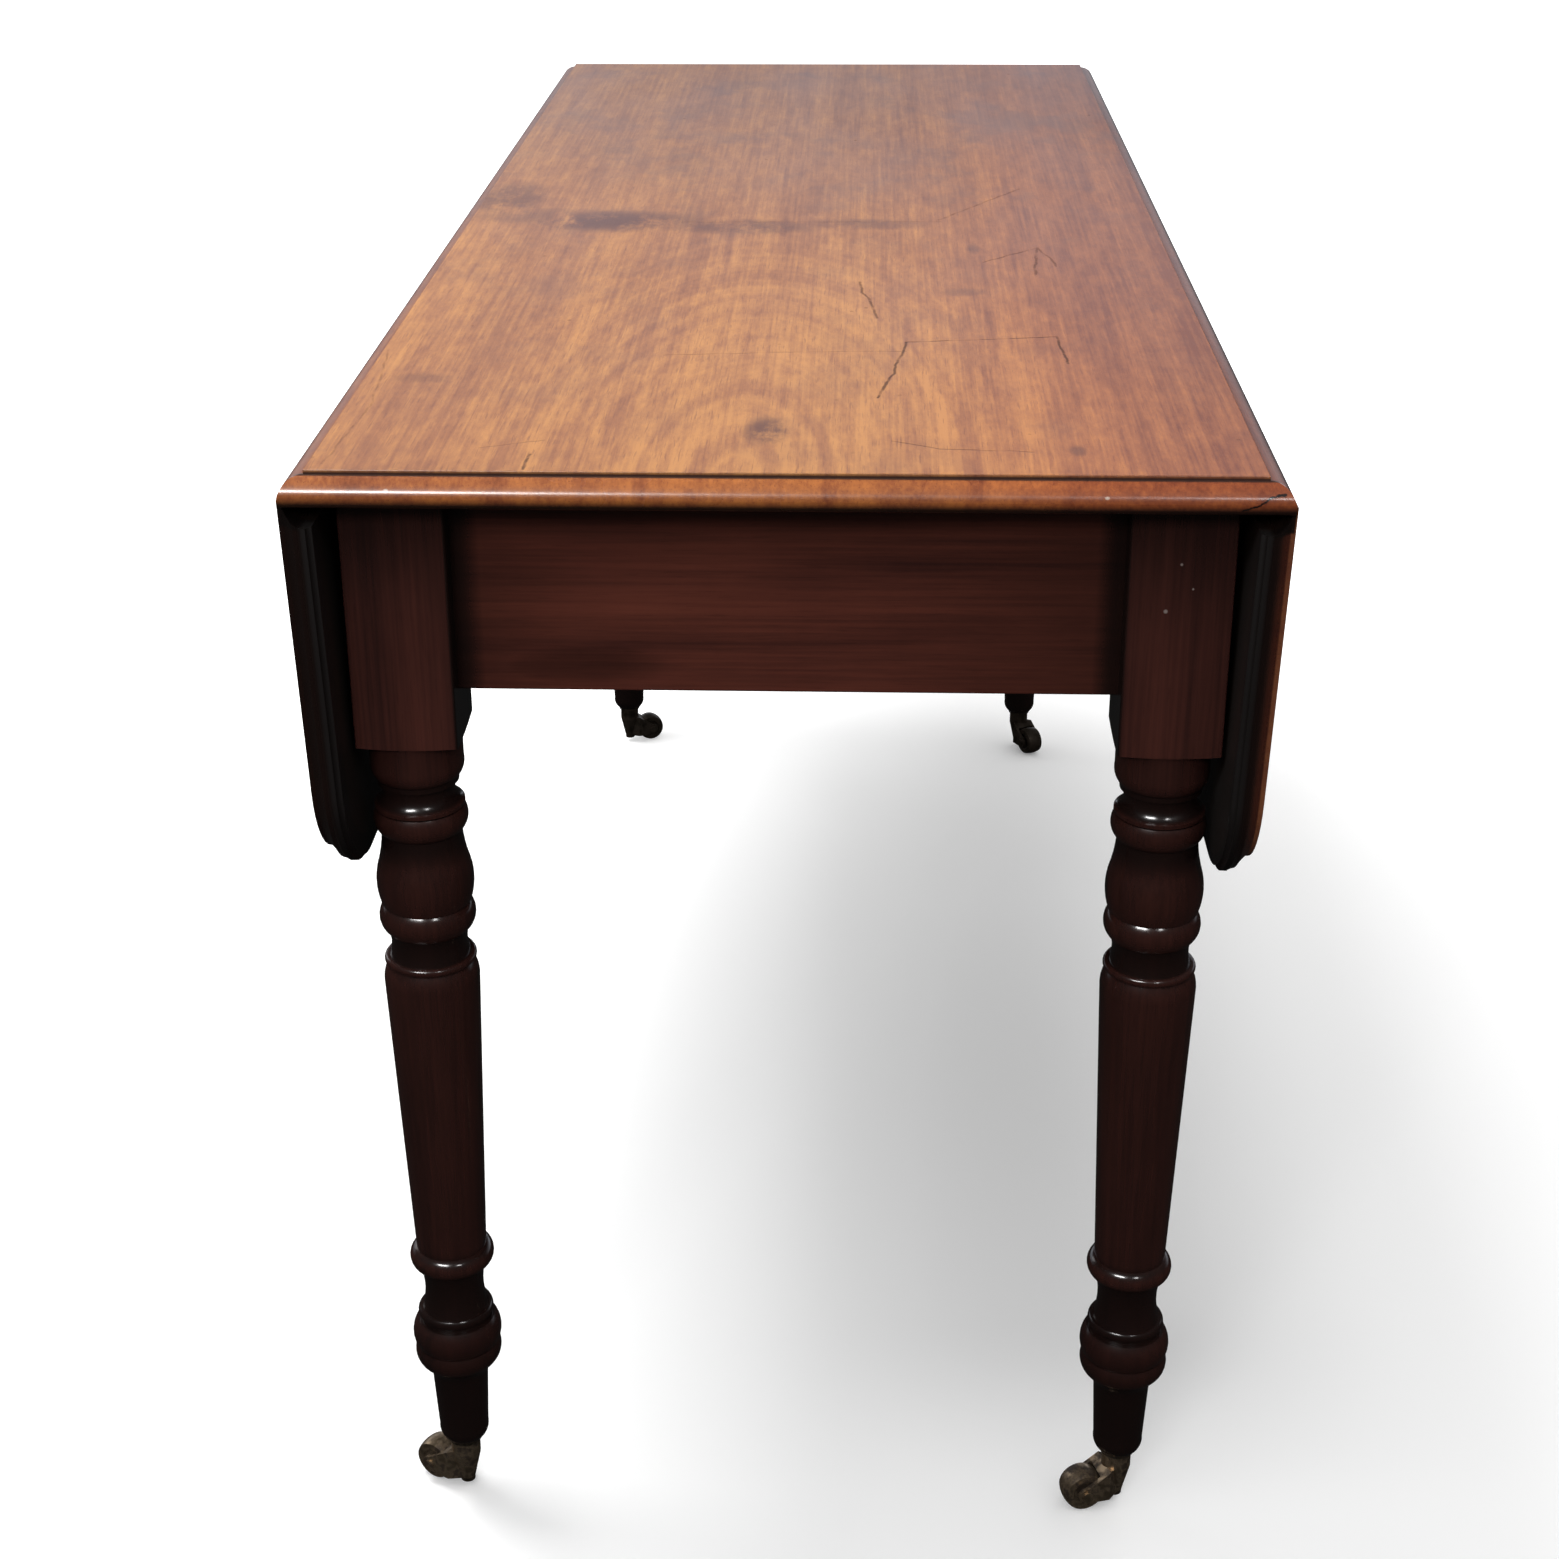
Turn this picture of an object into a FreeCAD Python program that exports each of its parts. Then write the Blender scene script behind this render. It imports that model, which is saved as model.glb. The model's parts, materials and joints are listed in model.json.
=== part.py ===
# Pembroke table: a drop-leaf table on turned legs with casters.
# Millimetres; X across the leaves, Y along the length, Z up from the floor.
import FreeCAD, Part
import math
import os
import re
import Sketcher

# Every size that can be set by itself, in millimetres (angles in degrees).
SIZES = {
    # Top and leaves
    "table_height": 720,
    "top_length": 1340,
    "closed_width": 537,
    "rule_step": 2.5,
    "rule_radius": 13.5,
    "pin_depth": 3,
    "rule_gap": 0.5,
    "mould_reach": 9,
    "mould_drop": 10.5,
    "mould_bulge": 0.4,
    "nose_reach": 1.8,
    "nose_rise": 4.2,
    "nose_bulge": 0.35,
    "edge_round": 3,
    "leaf_reach": 232,
    "leaf_corner": 60,
    "leaf_lean_angle": 1.6,
    # Rule-joint hinges
    "hinge_width": 50,
    "hinge_inset": 230,
    "hinge_thick": 1.7,
    "knuckle_width": 20,
    "knuckle_gap": 0.4,
    "hinge_pin_radius": 1.3,
    "frame_plate_reach": 36,
    "leaf_plate_reach": 58,
    "screw_shank_radius": 1.6,
    "screw_head_radius": 3.2,
    "screw_length": 13,
    "screw_spread": 15,
    "screw_margin": 10,
    "screw_pitch": 12,
    # Clearances
    "running_gap": 0.05,
    "working_gap": 0.4,
    "leg_clearance": 0.5,
    "cut_overrun": 2,
    # Leg blocks and rails
    "leg_square": 58,
    "block_height": 154,
    "pommel_height": 1.5,
    "end_overhang": 34,
    "apron_height": 122,
    "apron_setback": 15,
    "rail_thick": 20,
    "fly_thick": 24,
    "fly_setback": 4.5,
    "fly_height": 100,
    "tenon_length": 21,
    "tenon_thick": 9,
    "tenon_shoulder": 11,
    "drawer_rail_thick": 18,
    "rail_tenon_width": 20,
    "rail_tenon_shoulder": 5,
    # Fly brackets
    "fly_end_length": 138,
    "bracket_length": 190,
    "bracket_tip_height": 42,
    "bracket_heel": 40,
    "bracket_nose": 14,
    "bracket_bulge": 16,
    "bracket_pin_radius": 3,
    # Turned leg, from the block down
    "drum_height": 27,
    "drum_radius": 27,
    "drum_round_height": 11,
    "drum_round_bulge": 1.4,
    "fillet_height": 3,
    "fillet_radius": 23.6,
    "neck_height": 4.5,
    "neck_radius": 20.8,
    "throat_height": 8.5,
    "throat_bulge": 1.4,
    "lip_height": 2,
    "lip_radius": 26.2,
    "groove_height": 1.2,
    "groove_radius": 24.6,
    "neck_bead_height": 15,
    "neck_bead_head_radius": 25.6,
    "neck_bead_foot_radius": 24,
    "neck_bead_bulge": 2.7,
    "vase_height": 47,
    "vase_belly_height": 28,
    "vase_radius": 26.3,
    "vase_bulge": 2.3,
    "vase_neck_radius": 23.4,
    "vase_neck_bulge": 0.5,
    "bead_height": 17.5,
    "bead_radius": 25,
    "bead_bulge": 3.5,
    "cove_height": 17.3,
    "cove_radius": 24,
    "cove_bulge": 1.5,
    "astragal_height": 5,
    "astragal_radius": 25.8,
    "astragal_bulge": 1.6,
    "shoulder_height": 11,
    "shoulder_radius": 25.2,
    "shoulder_bulge": 0.8,
    "shaft_top_radius": 28.5,
    "shaft_low_radius": 21.9,
    # Turned leg, from the foot up
    "caster_height": 42,
    "foot_end_radius": 11.5,
    "foot_round_height": 11,
    "foot_round_bulge": 1.6,
    "foot_low_radius": 15.8,
    "foot_top_radius": 17.8,
    "foot_height": 53,
    "flare_height": 11,
    "flare_bulge": 1.6,
    "base_bead_foot_radius": 24.4,
    "base_bead_head_radius": 26,
    "base_bead_height": 14,
    "base_bead_bulge": 2.2,
    "base_groove_height": 1.5,
    "base_groove_radius": 25.4,
    "belly_height": 17.5,
    "belly_foot_radius": 26.8,
    "belly_head_radius": 24.4,
    "belly_bulge": 2.4,
    "ankle_groove_height": 2.5,
    "ankle_groove_radius": 22.4,
    "ankle_collar_height": 6,
    "ankle_collar_radius": 22.6,
    "ankle_collar_bulge": 1.3,
    "ankle_height": 32,
    "ankle_radius": 20.9,
    "ankle_bulge": 2.4,
    "ring_height": 15,
    "ring_radius": 21.4,
    "ring_bulge": 5,
    # Casters
    "peg_radius": 3,
    "peg_length": 34,
    "peg_plate_radius": 11,
    "peg_plate_thick": 2,
    "peg_head_radius": 4.8,
    "peg_head_thick": 2.4,
    "boss_radius": 9.5,
    "boss_height": 11.5,
    "caster_trail": 23,
    "caster_wheel_radius": 14,
    "caster_wheel_width": 15,
    "caster_wheel_crown": 1.2,
    "caster_hub_radius": 7,
    "caster_hub_recess": 1.5,
    "horn_cheek_thick": 3,
    "horn_eye_radius": 5.5,
    "horn_neck_radius": 5,
    "horn_lift": 8,
    "horn_lap": 2,
    "axle_radius": 2,
    "axle_head_radius": 3.2,
    "axle_head_thick": 1,
    "front_left_angle": 150,
    "front_right_angle": 197,
    "rear_left_angle": 25,
    "rear_right_angle": 300,
    # Glue blocks and their screws
    "glue_block_length": 60,
    "glue_block_side": 25,
    "front_block_place": 100,
    "side_block_inset": 198,
    "mid_block_place": 40,
    "top_screw_bite": 9.5,
    # Drawer at the far end
    "drawer_depth": 420,
    "drawer_gap": 0.8,
    "drawer_front_thick": 20,
    "drawer_lap": 6,
    "drawer_side_thick": 10,
    "drawer_side_drop": 3,
    "drawer_bottom_thick": 6,
    "drawer_bottom_lift": 7,
    "drawer_groove": 5,
    "tail_width": 15,
    "tail_splay": 2.5,
    "tail_pitch": 24,
    "runner_reach": 23,
    "runner_overlap": 40,
    "guide_height": 20,
    "stop_length": 30,
    "stop_place": 90,
    "stop_width": 18,
    "stop_height": 5,
    "knob_place": 95,
    "knob_radius": 15,
    "knob_length": 24,
    "knob_neck_radius": 8,
    "knob_base_radius": 11,
    "knob_base_thick": 3,
    "knob_neck_length": 7,
    "knob_face_bulge": 0.3,
    "knob_neck_bulge": 1.7,
    "knob_rim_height": 5.5,
    "knob_rim_bulge": 1.7,
    "knob_rim_round": 2,
    "knob_spigot_radius": 5,
}

# Knuckles in the joint of a fly bracket.
KNUCKLES = 5

# Sizes and places that follow from the ones above.
DERIVED = {
    "top_thick": "rule_step + rule_radius + pin_depth",
    "underside": "table_height - top_thick",
    "axis_x": "closed_width / 2 - rule_radius - rule_step",
    "axis_z": "underside + pin_depth",
    "half_length": "top_length / 2",
    "hinge_spread": "half_length - hinge_inset",
    "cove_reach": "rule_radius + rule_gap",
    "leaf_top": "rule_radius + rule_step",
    "leaf_lean": "leaf_reach * tan(leaf_lean_angle)",
    "swing": "90 + leaf_lean_angle",
    "ovolo_foot": "sqrt(rule_radius ^ 2 - pin_depth ^ 2)",
    "cove_foot_x": "sqrt(cove_reach ^ 2 - pin_depth ^ 2)",
    "cove_head_z": "sqrt(cove_reach ^ 2 - rule_gap ^ 2)",
    # Frame
    "half_square": "leg_square / 2",
    "corner_gain": "half_square * (sqrt(2) - 1)",
    "leg_x": "axis_x - pin_depth - leaf_lean - leg_clearance - half_square",
    "leg_y": "half_length - end_overhang - half_square",
    "inner_x": "leg_x - half_square",
    "inner_y": "leg_y - half_square",
    "apron_foot": "underside - apron_height",
    "apron_face": "leg_y + half_square - apron_setback",
    "fly_face": "leg_x + half_square - fly_setback",
    "side_face": "fly_face - fly_thick",
    "side_back": "side_face - rail_thick",
    "side_mid": "side_face - rail_thick / 2",
    "apron_back": "apron_face - rail_thick",
    "apron_mid": "apron_face - rail_thick / 2",
    "tenon_foot": "apron_foot + tenon_shoulder",
    "tenon_height": "apron_height - 2 * tenon_shoulder",
    "drawer_rail_depth": "apron_face - inner_y",
    "lower_rail_head": "apron_foot + drawer_rail_thick",
    "upper_rail_foot": "underside - drawer_rail_thick",
    "side_block_place": "inner_y - side_block_inset",
    # Fly brackets
    "bracket_pivot": "inner_y - fly_end_length - bracket_length",
    "fly_foot": "underside - fly_height",
    "fly_mid": "fly_face - fly_thick / 2",
    "bracket_thick": "fly_thick - 2 * working_gap",
    "knuckle_reach": "bracket_thick / 2",
    "bracket_relief": "knuckle_reach + 2 * working_gap",
    "bracket_head": "underside - working_gap",
    "finger_height": f"(fly_height - working_gap) / {KNUCKLES}",
    # Turned leg
    "block_foot": "underside - block_height",
    "drum_foot": "block_foot - drum_height",
    "fillet_foot": "drum_foot - fillet_height",
    "neck_foot": "fillet_foot - neck_height",
    "throat_foot": "neck_foot - throat_height",
    "lip_foot": "throat_foot - lip_height",
    "groove_foot": "lip_foot - groove_height",
    "neck_bead_foot": "groove_foot - neck_bead_height",
    "vase_foot": "neck_bead_foot - vase_height",
    "bead_foot": "vase_foot - bead_height",
    "cove_foot": "bead_foot - cove_height",
    "astragal_foot": "cove_foot - astragal_height",
    "shoulder_foot": "astragal_foot - shoulder_height",
    "foot_head": "caster_height + foot_height",
    "flare_head": "foot_head + flare_height",
    "base_head": "flare_head + base_bead_height",
    "belly_foot": "base_head + base_groove_height",
    "belly_head": "belly_foot + belly_height",
    "ankle_collar_foot": "belly_head + ankle_groove_height",
    "ankle_foot": "ankle_collar_foot + ankle_collar_height",
    "ankle_head": "ankle_foot + ankle_height",
    "ring_head": "ankle_head + ring_height",
    # Casters
    "boss_head": "caster_height - peg_plate_thick - working_gap",
    "boss_foot": "boss_head - boss_height",
    "peg_head_top": "horn_lift - working_gap",
    "horn_gap": "caster_wheel_width / 2 + 2 * working_gap",
    "horn_half": "horn_gap + horn_cheek_thick",
    "wheel_space": "caster_wheel_radius + 3 * working_gap",
    "horn_flare": "caster_trail - wheel_space",
    "wheel_half": "caster_wheel_width / 2",
    # Drawer
    "drawer_half": "inner_x - drawer_gap",
    "drawer_foot": "lower_rail_head + working_gap",
    "drawer_head": "upper_rail_foot - drawer_gap",
    "drawer_back_y": "apron_face - drawer_depth",
    "front_back_y": "apron_face - drawer_front_thick",
    "side_head": "drawer_head - drawer_side_drop",
    "drawer_inside": "drawer_half - drawer_side_thick",
    "bottom_foot": "drawer_foot + drawer_bottom_lift",
    "bottom_head": "bottom_foot + drawer_bottom_thick",
    "runner_end": "drawer_back_y - runner_overlap",
    "knob_z": "(drawer_foot + drawer_head) / 2",
}

doc = FreeCAD.newDocument("pembroke_table")
sheet = doc.addObject("Spreadsheet::Sheet", "sizes")
for row, (alias, amount) in enumerate(SIZES.items(), start=1):
    sheet.set(f"A{row}", alias)
    sheet.set(f"B{row}", str(amount))
    sheet.setAlias(f"B{row}", alias)
doc.recompute()

WORD = re.compile(r"[a-z_]+")
ACROSS = FreeCAD.Vector(1, 0, 0)
ALONG = FreeCAD.Vector(0, 1, 0)
UP = FreeCAD.Vector(0, 0, 1)
pieces = {}


def expression(text):
    """Write a sum of size names as an expression on the sheet's cells."""
    def swap(match):
        word = match.group(0)
        if word in DERIVED:
            return "(" + expression(DERIVED[word]) + ")"
        return "sizes." + word if word in SIZES else word
    return WORD.sub(swap, text)


def value(text):
    return float(sheet.evalExpression(expression(text)))


def place(item, base, axis=None, angle=None):
    """Bind an object's place, and its turn about one axis, to the sheet."""
    if axis is not None:
        item.Placement = FreeCAD.Placement(FreeCAD.Vector(), FreeCAD.Rotation(axis, 1))
        item.setExpression("Placement.Rotation.Angle", expression(angle))
    for letter, text in zip("xyz", base):
        item.setExpression(f"Placement.Base.{letter}", expression(text))
    return item


def bound(kind, name, sizes):
    item = doc.addObject(kind, name)
    for prop, text in sizes.items():
        item.setExpression(prop, expression(text))
    return item


def box(name, size, corner):
    item = bound("Part::Box", name, dict(zip(("Length", "Width", "Height"), size)))
    return place(item, corner)


def span(name, x, y, z):
    """A box between two named places on each axis."""
    size = [f"({high}) - ({low})" for low, high in (x, y, z)]
    return box(name, size, (x[0], y[0], z[0]))


def post(name, radius, foot, head, x="0", y="0"):
    """An upright cylinder between two heights."""
    item = bound("Part::Cylinder", name, {"Radius": radius, "Height": f"({head}) - ({foot})"})
    return place(item, (x, y, foot))


def barrel(name, radius, low, high, x="0", z="0"):
    """A cylinder lying along Y between two places."""
    item = bound("Part::Cylinder", name, {"Radius": radius, "Height": f"({high}) - ({low})"})
    item.Placement.Rotation = FreeCAD.Rotation(ACROSS, -90)
    return place(item, (x, low, z))


def fuse(name, items):
    item = doc.addObject("Part::MultiFuse", name)
    item.Shapes = items
    item.Refine = True
    return item


def cut(name, base, tools):
    item = doc.addObject("Part::Cut", name)
    item.Base = base
    item.Tool = tools[0] if len(tools) == 1 else group(name + "_tools", tools)
    return item


def group(name, items):
    item = doc.addObject("Part::Compound", name)
    item.Links = items
    return item


def mirror(name, source, normal):
    item = doc.addObject("Part::Mirroring", name)
    item.Source = source
    item.Normal = normal
    return item


def keep(item):
    """Hand a finished sub-part over under its own label."""
    item.Label = item.Name
    pieces[item.Name] = item
    return item


def keep_pair(name, source):
    """Keep a right-hand piece and its mirror image on the left."""
    keep(source)
    return keep(mirror(name, source, ACROSS))


def sketch_on(body, name, role):
    sketch = body.newObject("Sketcher::SketchObject", name)
    plane = next(item for item in body.Origin.OriginFeatures if item.Role == role)
    sketch.AttachmentSupport = [(plane, "")]
    sketch.MapMode = "FlatFace"
    return sketch


def arc_between(start, end, rise):
    """Arc from start to end that rises to the right of the way it runs."""
    chord = end - start
    radius = (chord.Length ** 2 / 4 + rise ** 2) / (2 * abs(rise))
    right = FreeCAD.Vector(chord.y, -chord.x, 0).normalize()
    side = math.copysign(1, rise)
    centre = (start + end) / 2 + right * (rise - side * radius)
    first, last = (start, end) if rise > 0 else (end, start)
    angles = [math.atan2(spot.y - centre.y, spot.x - centre.x) for spot in (first, last)]
    if angles[1] < angles[0]:
        angles[1] += 2 * math.pi
    return Part.ArcOfCircle(Part.Circle(centre, UP, radius), *angles)


def draw(sketch, corners, closed=True):
    """Draw an outline: each corner is (x, y) or (x, y, rise of the arc to the next)."""
    spots = [FreeCAD.Vector(value(corner[0]), value(corner[1]), 0) for corner in corners]
    count = len(corners) if closed else len(corners) - 1
    heads = []
    tails = []
    curves = []
    for index in range(count):
        start = spots[index]
        end = spots[(index + 1) % len(spots)]
        if len(corners[index]) == 2:
            sketch.addGeometry(Part.LineSegment(start, end))
            forward = True
        else:
            rise = value(corners[index][2])
            sketch.addGeometry(arc_between(start, end, rise))
            forward = rise > 0
            curves.append(index)
        heads.append(1 if forward else 2)
        tails.append(2 if forward else 1)
    for index in range(count if closed else count - 1):
        follow = (index + 1) % count
        sketch.addConstraint(Sketcher.Constraint("Coincident", index, tails[index], follow, heads[follow]))
    for index, corner in enumerate(corners):
        edge, end = (index, heads[index]) if index < count else (count - 1, tails[count - 1])
        for kind, axis, text in (("DistanceX", -2, corner[0]), ("DistanceY", -1, corner[1])):
            if text == "0":
                sketch.addConstraint(Sketcher.Constraint("PointOnObject", edge, end, axis))
                continue
            number = sketch.addConstraint(Sketcher.Constraint(kind, -1, 1, edge, end, value(text)))
            sketch.setExpression(f"Constraints[{number}]", expression(text))
    for index in curves:
        x, y, rise = corners[index]
        x_next, y_next = corners[(index + 1) % len(corners)][:2]
        chord = f"(({x_next}) - ({x})) ^ 2 + (({y_next}) - ({y})) ^ 2"
        radius = f"(({chord}) / 4 + ({rise}) ^ 2) / (2 * abs({rise}))"
        number = sketch.addConstraint(Sketcher.Constraint("Radius", index, value(radius)))
        sketch.setExpression(f"Constraints[{number}]", expression(radius))
    doc.recompute()


def padded(name, role, corners, depth):
    """A body whose outline is padded equally to both sides of its plane."""
    body = doc.addObject("PartDesign::Body", name)
    sketch = sketch_on(body, name + "_outline", role)
    draw(sketch, corners)
    pad = body.newObject("PartDesign::Pad", name + "_pad")
    pad.Profile = sketch
    pad.SideType = "Symmetric"
    pad.setExpression("Length", expression(depth))
    doc.recompute()
    return body


def turned(name, role, corners, axis):
    """A body turned about one axis of its sketch."""
    body = doc.addObject("PartDesign::Body", name)
    sketch = sketch_on(body, name + "_profile", role)
    draw(sketch, corners)
    spin = body.newObject("PartDesign::Revolution", name + "_turning")
    spin.Profile = sketch
    spin.ReferenceAxis = (sketch, [axis])
    spin.Angle = 360
    doc.recompute()
    return body


def quarter_rise(radius):
    """Rise of a quarter circle over its chord."""
    return f"({radius}) * (1 - sqrt(0.5))"


def arc_rise(radius, x_gap, y_gap):
    """Rise of an arc of known radius over a chord."""
    return f"({radius}) - sqrt(({radius}) ^ 2 - (({x_gap}) ^ 2 + ({y_gap}) ^ 2) / 4)"


# Rule-joint hinges: drawn with the leaf raised, about the hinge pin's axis.
hinge_places = ("-hinge_spread", "0", "hinge_spread")
plate_start = "pin_depth + 2 * working_gap"
plate_head = "hinge_thick - pin_depth"
half_hinge = "hinge_width / 2"
half_knuckle = "knuckle_width / 2"
finger_edge = "knuckle_width / 2 + knuckle_gap"
shank_tip = "screw_length - pin_depth"
screw_head = {"Radius1": "screw_head_radius", "Radius2": "screw_shank_radius", "Height": "hinge_thick"}


def hinge_screws(name, reach, side):
    """Countersunk screws of the three plates on one side of the joint."""
    screws = []
    tip = f"({reach}) - screw_margin"
    inner = f"{tip} - screw_pitch"
    spots = ((inner, "-screw_spread"), (inner, "screw_spread"), (tip, "0"))
    for hinge, middle in enumerate(hinge_places):
        for number, (x, y) in enumerate(spots):
            label = f"{name}_{hinge}{number}"
            spot = (f"{side} * ({x})", f"({middle}) + ({y})", "-pin_depth")
            head = place(bound("Part::Cone", label + "_head", screw_head), spot)
            shank = post(label + "_shank", "screw_shank_radius", plate_head, shank_tip, *spot[:2])
            screws.append(fuse(label, [head, shank]))
    return group(name, screws)


def hinge_plates(name, reach, side, fingers, bore, screws):
    """The three hinge plates on one side of the joint, with their knuckles."""
    plates = []
    for hinge, middle in enumerate(hinge_places):
        label = f"{name}_{hinge}"
        edges = sorted((f"{side} * ({plate_start})", f"{side} * ({reach})"), key=value)
        y_span = (f"({middle}) - {half_hinge}", f"({middle}) + {half_hinge}")
        solids = [span(label + "_flap", edges, y_span, ("-pin_depth", plate_head))]
        for number, (low, high) in enumerate(fingers):
            y_span = (f"({middle}) + {low}", f"({middle}) + {high}")
            edges = sorted(("0", f"{side} * ({plate_start})"), key=value)
            solids.append(span(f"{label}_finger{number}", edges, y_span, ("-pin_depth", plate_head)))
            solids.append(barrel(f"{label}_knuckle{number}", "pin_depth", *y_span))
        hole = barrel(label + "_bore", bore, f"({middle}) - hinge_width", f"({middle}) + hinge_width")
        plates.append(cut(label, fuse(label + "_blank", solids), [hole]))
    return cut(name, group(name + "_plates", plates), [screws])


leaf_fingers = [(f"-{half_knuckle}", half_knuckle)]
frame_fingers = [(f"-{half_hinge}", f"-({finger_edge})"), (finger_edge, half_hinge)]
joint = ("axis_x", "0", "axis_z")
leaf_bore = "hinge_pin_radius + running_gap"

leaf_screws_raised = hinge_screws("leaf_screws_raised", "leaf_plate_reach", "1")
leaf_plates_raised = hinge_plates(
    "leaf_plates_raised", "leaf_plate_reach", "1", leaf_fingers, leaf_bore, leaf_screws_raised)
frame_screws_local = hinge_screws("frame_screws_local", "frame_plate_reach", "-1")
frame_plates_local = hinge_plates(
    "frame_plates_local", "frame_plate_reach", "-1", frame_fingers, "hinge_pin_radius", frame_screws_local)


def moved(name, source, base, axis=None, angle=None):
    """The same piece in its place on the table."""
    return place(group(name, [source]), base, axis, angle)


right_leaf_screws = moved("right_leaf_screws", leaf_screws_raised, joint, ALONG, "swing")
right_leaf_hinges = moved("right_leaf_hinges", leaf_plates_raised, joint, ALONG, "swing")
right_frame_screws = moved("right_frame_screws", frame_screws_local, joint)
right_frame_hinges = moved("right_frame_hinges", frame_plates_local, joint)
pins = []
for hinge, middle in enumerate(hinge_places):
    ends = (f"({middle}) - {half_hinge}", f"({middle}) + {half_hinge}")
    pins.append(barrel(f"hinge_pin_{hinge}", "hinge_pin_radius", *ends, "axis_x", "axis_z"))
right_hinge_pins = group("right_hinge_pins", pins)

keep_pair("left_leaf_screws", right_leaf_screws)
keep_pair("left_leaf_hinges", right_leaf_hinges)
left_frame_screws = keep_pair("left_frame_screws", right_frame_screws)
keep_pair("left_frame_hinges", right_frame_hinges)
keep_pair("left_hinge_pins", right_hinge_pins)

# Drop leaf: drawn raised, about the hinge pin's axis, then let down.
leaf_body = doc.addObject("PartDesign::Body", "leaf_raised")
leaf_plan = sketch_on(leaf_body, "leaf_plan", "XY_Plane")
corner_rise = quarter_rise("leaf_corner")
round_rise = quarter_rise("edge_round")
corner_x = "leaf_reach - leaf_corner"
corner_y = "half_length - leaf_corner"
leaf_edge = [
    ("rule_gap", "-half_length"),
    (corner_x, "-half_length", corner_rise),
    ("leaf_reach", f"-({corner_y})"),
    ("leaf_reach", corner_y, corner_rise),
    (corner_x, "half_length"),
    ("rule_gap", "half_length"),
]
draw(leaf_plan, leaf_edge)
leaf_pad = leaf_body.newObject("PartDesign::Pad", "leaf_pad")
leaf_pad.Profile = leaf_plan
leaf_pad.SideType = "Two sides"
leaf_pad.setExpression("Length", expression("leaf_top"))
leaf_pad.setExpression("Length2", expression("pin_depth"))
doc.recompute()
leaf_path = sketch_on(leaf_body, "leaf_path", "XY_Plane")
path_ends = [("-cut_overrun", "-half_length"), ("-cut_overrun", "half_length")]
draw(leaf_path, path_ends[:1] + leaf_edge[1:-1] + path_ends[1:], closed=False)


def moulding_waste(edge_text):
    """What the moulding plane takes off above and below an edge facing -Y."""
    out = f"{edge_text} - cut_overrun"
    upper = [
        (f"{edge_text} + mould_reach", "leaf_top + cut_overrun"),
        (f"{edge_text} + mould_reach", "leaf_top - rule_step", "-mould_bulge"),
        (f"{edge_text} + nose_reach", "leaf_top - rule_step - mould_drop + nose_rise", "-nose_bulge"),
        (edge_text, "leaf_top - rule_step - mould_drop"),
        (out, "leaf_top - rule_step - mould_drop"),
        (out, "leaf_top + cut_overrun"),
    ]
    lower = [
        (edge_text, "edge_round - pin_depth", f"-({round_rise})"),
        (f"{edge_text} + edge_round", "-pin_depth"),
        (f"{edge_text} + edge_round", "-pin_depth - cut_overrun"),
        (out, "-pin_depth - cut_overrun"),
        (out, "edge_round - pin_depth"),
    ]
    return {"moulding": upper, "rounding": lower}


for label, waste in moulding_waste("-half_length").items():
    waste_sketch = sketch_on(leaf_body, f"leaf_{label}_waste", "YZ_Plane")
    draw(waste_sketch, waste)
    pipe = leaf_body.newObject("PartDesign::SubtractivePipe", f"leaf_{label}")
    pipe.Profile = waste_sketch
    pipe.Spine = (leaf_path, [])
    doc.recompute()

cove_sketch = sketch_on(leaf_body, "leaf_cove_waste", "XZ_Plane")
cove_rise = arc_rise("cove_reach", "cove_foot_x - rule_gap", "cove_head_z + pin_depth")
draw(cove_sketch, [
    ("-cut_overrun", "-pin_depth - cut_overrun"),
    ("cove_foot_x", "-pin_depth - cut_overrun"),
    ("cove_foot_x", "-pin_depth", cove_rise),
    ("rule_gap", "cove_head_z"),
    ("-cut_overrun", "cove_head_z"),
])
cove_pocket = leaf_body.newObject("PartDesign::Pocket", "leaf_cove")
cove_pocket.Profile = cove_sketch
cove_pocket.SideType = "Symmetric"
cove_pocket.setExpression("Length", expression("top_length + cut_overrun"))
doc.recompute()


def hinge_beds(name, x_span, head, slack="0"):
    """Recesses along the three hinges, cut up from the underside."""
    beds = []
    for hinge, middle in enumerate(hinge_places):
        y_span = (f"({middle}) - {half_hinge} - {slack}", f"({middle}) + {half_hinge} + {slack}")
        beds.append(span(f"{name}_{hinge}", x_span, y_span, ("-pin_depth - cut_overrun", head)))
    return group(name, beds)


leaf_beds = hinge_beds("leaf_beds", ("0", "leaf_plate_reach"), plate_head)
right_leaf = cut("right_leaf", leaf_body, [leaf_beds, leaf_screws_raised])
place(right_leaf, joint, ALONG, "swing")
keep_pair("left_leaf", right_leaf)

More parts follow.
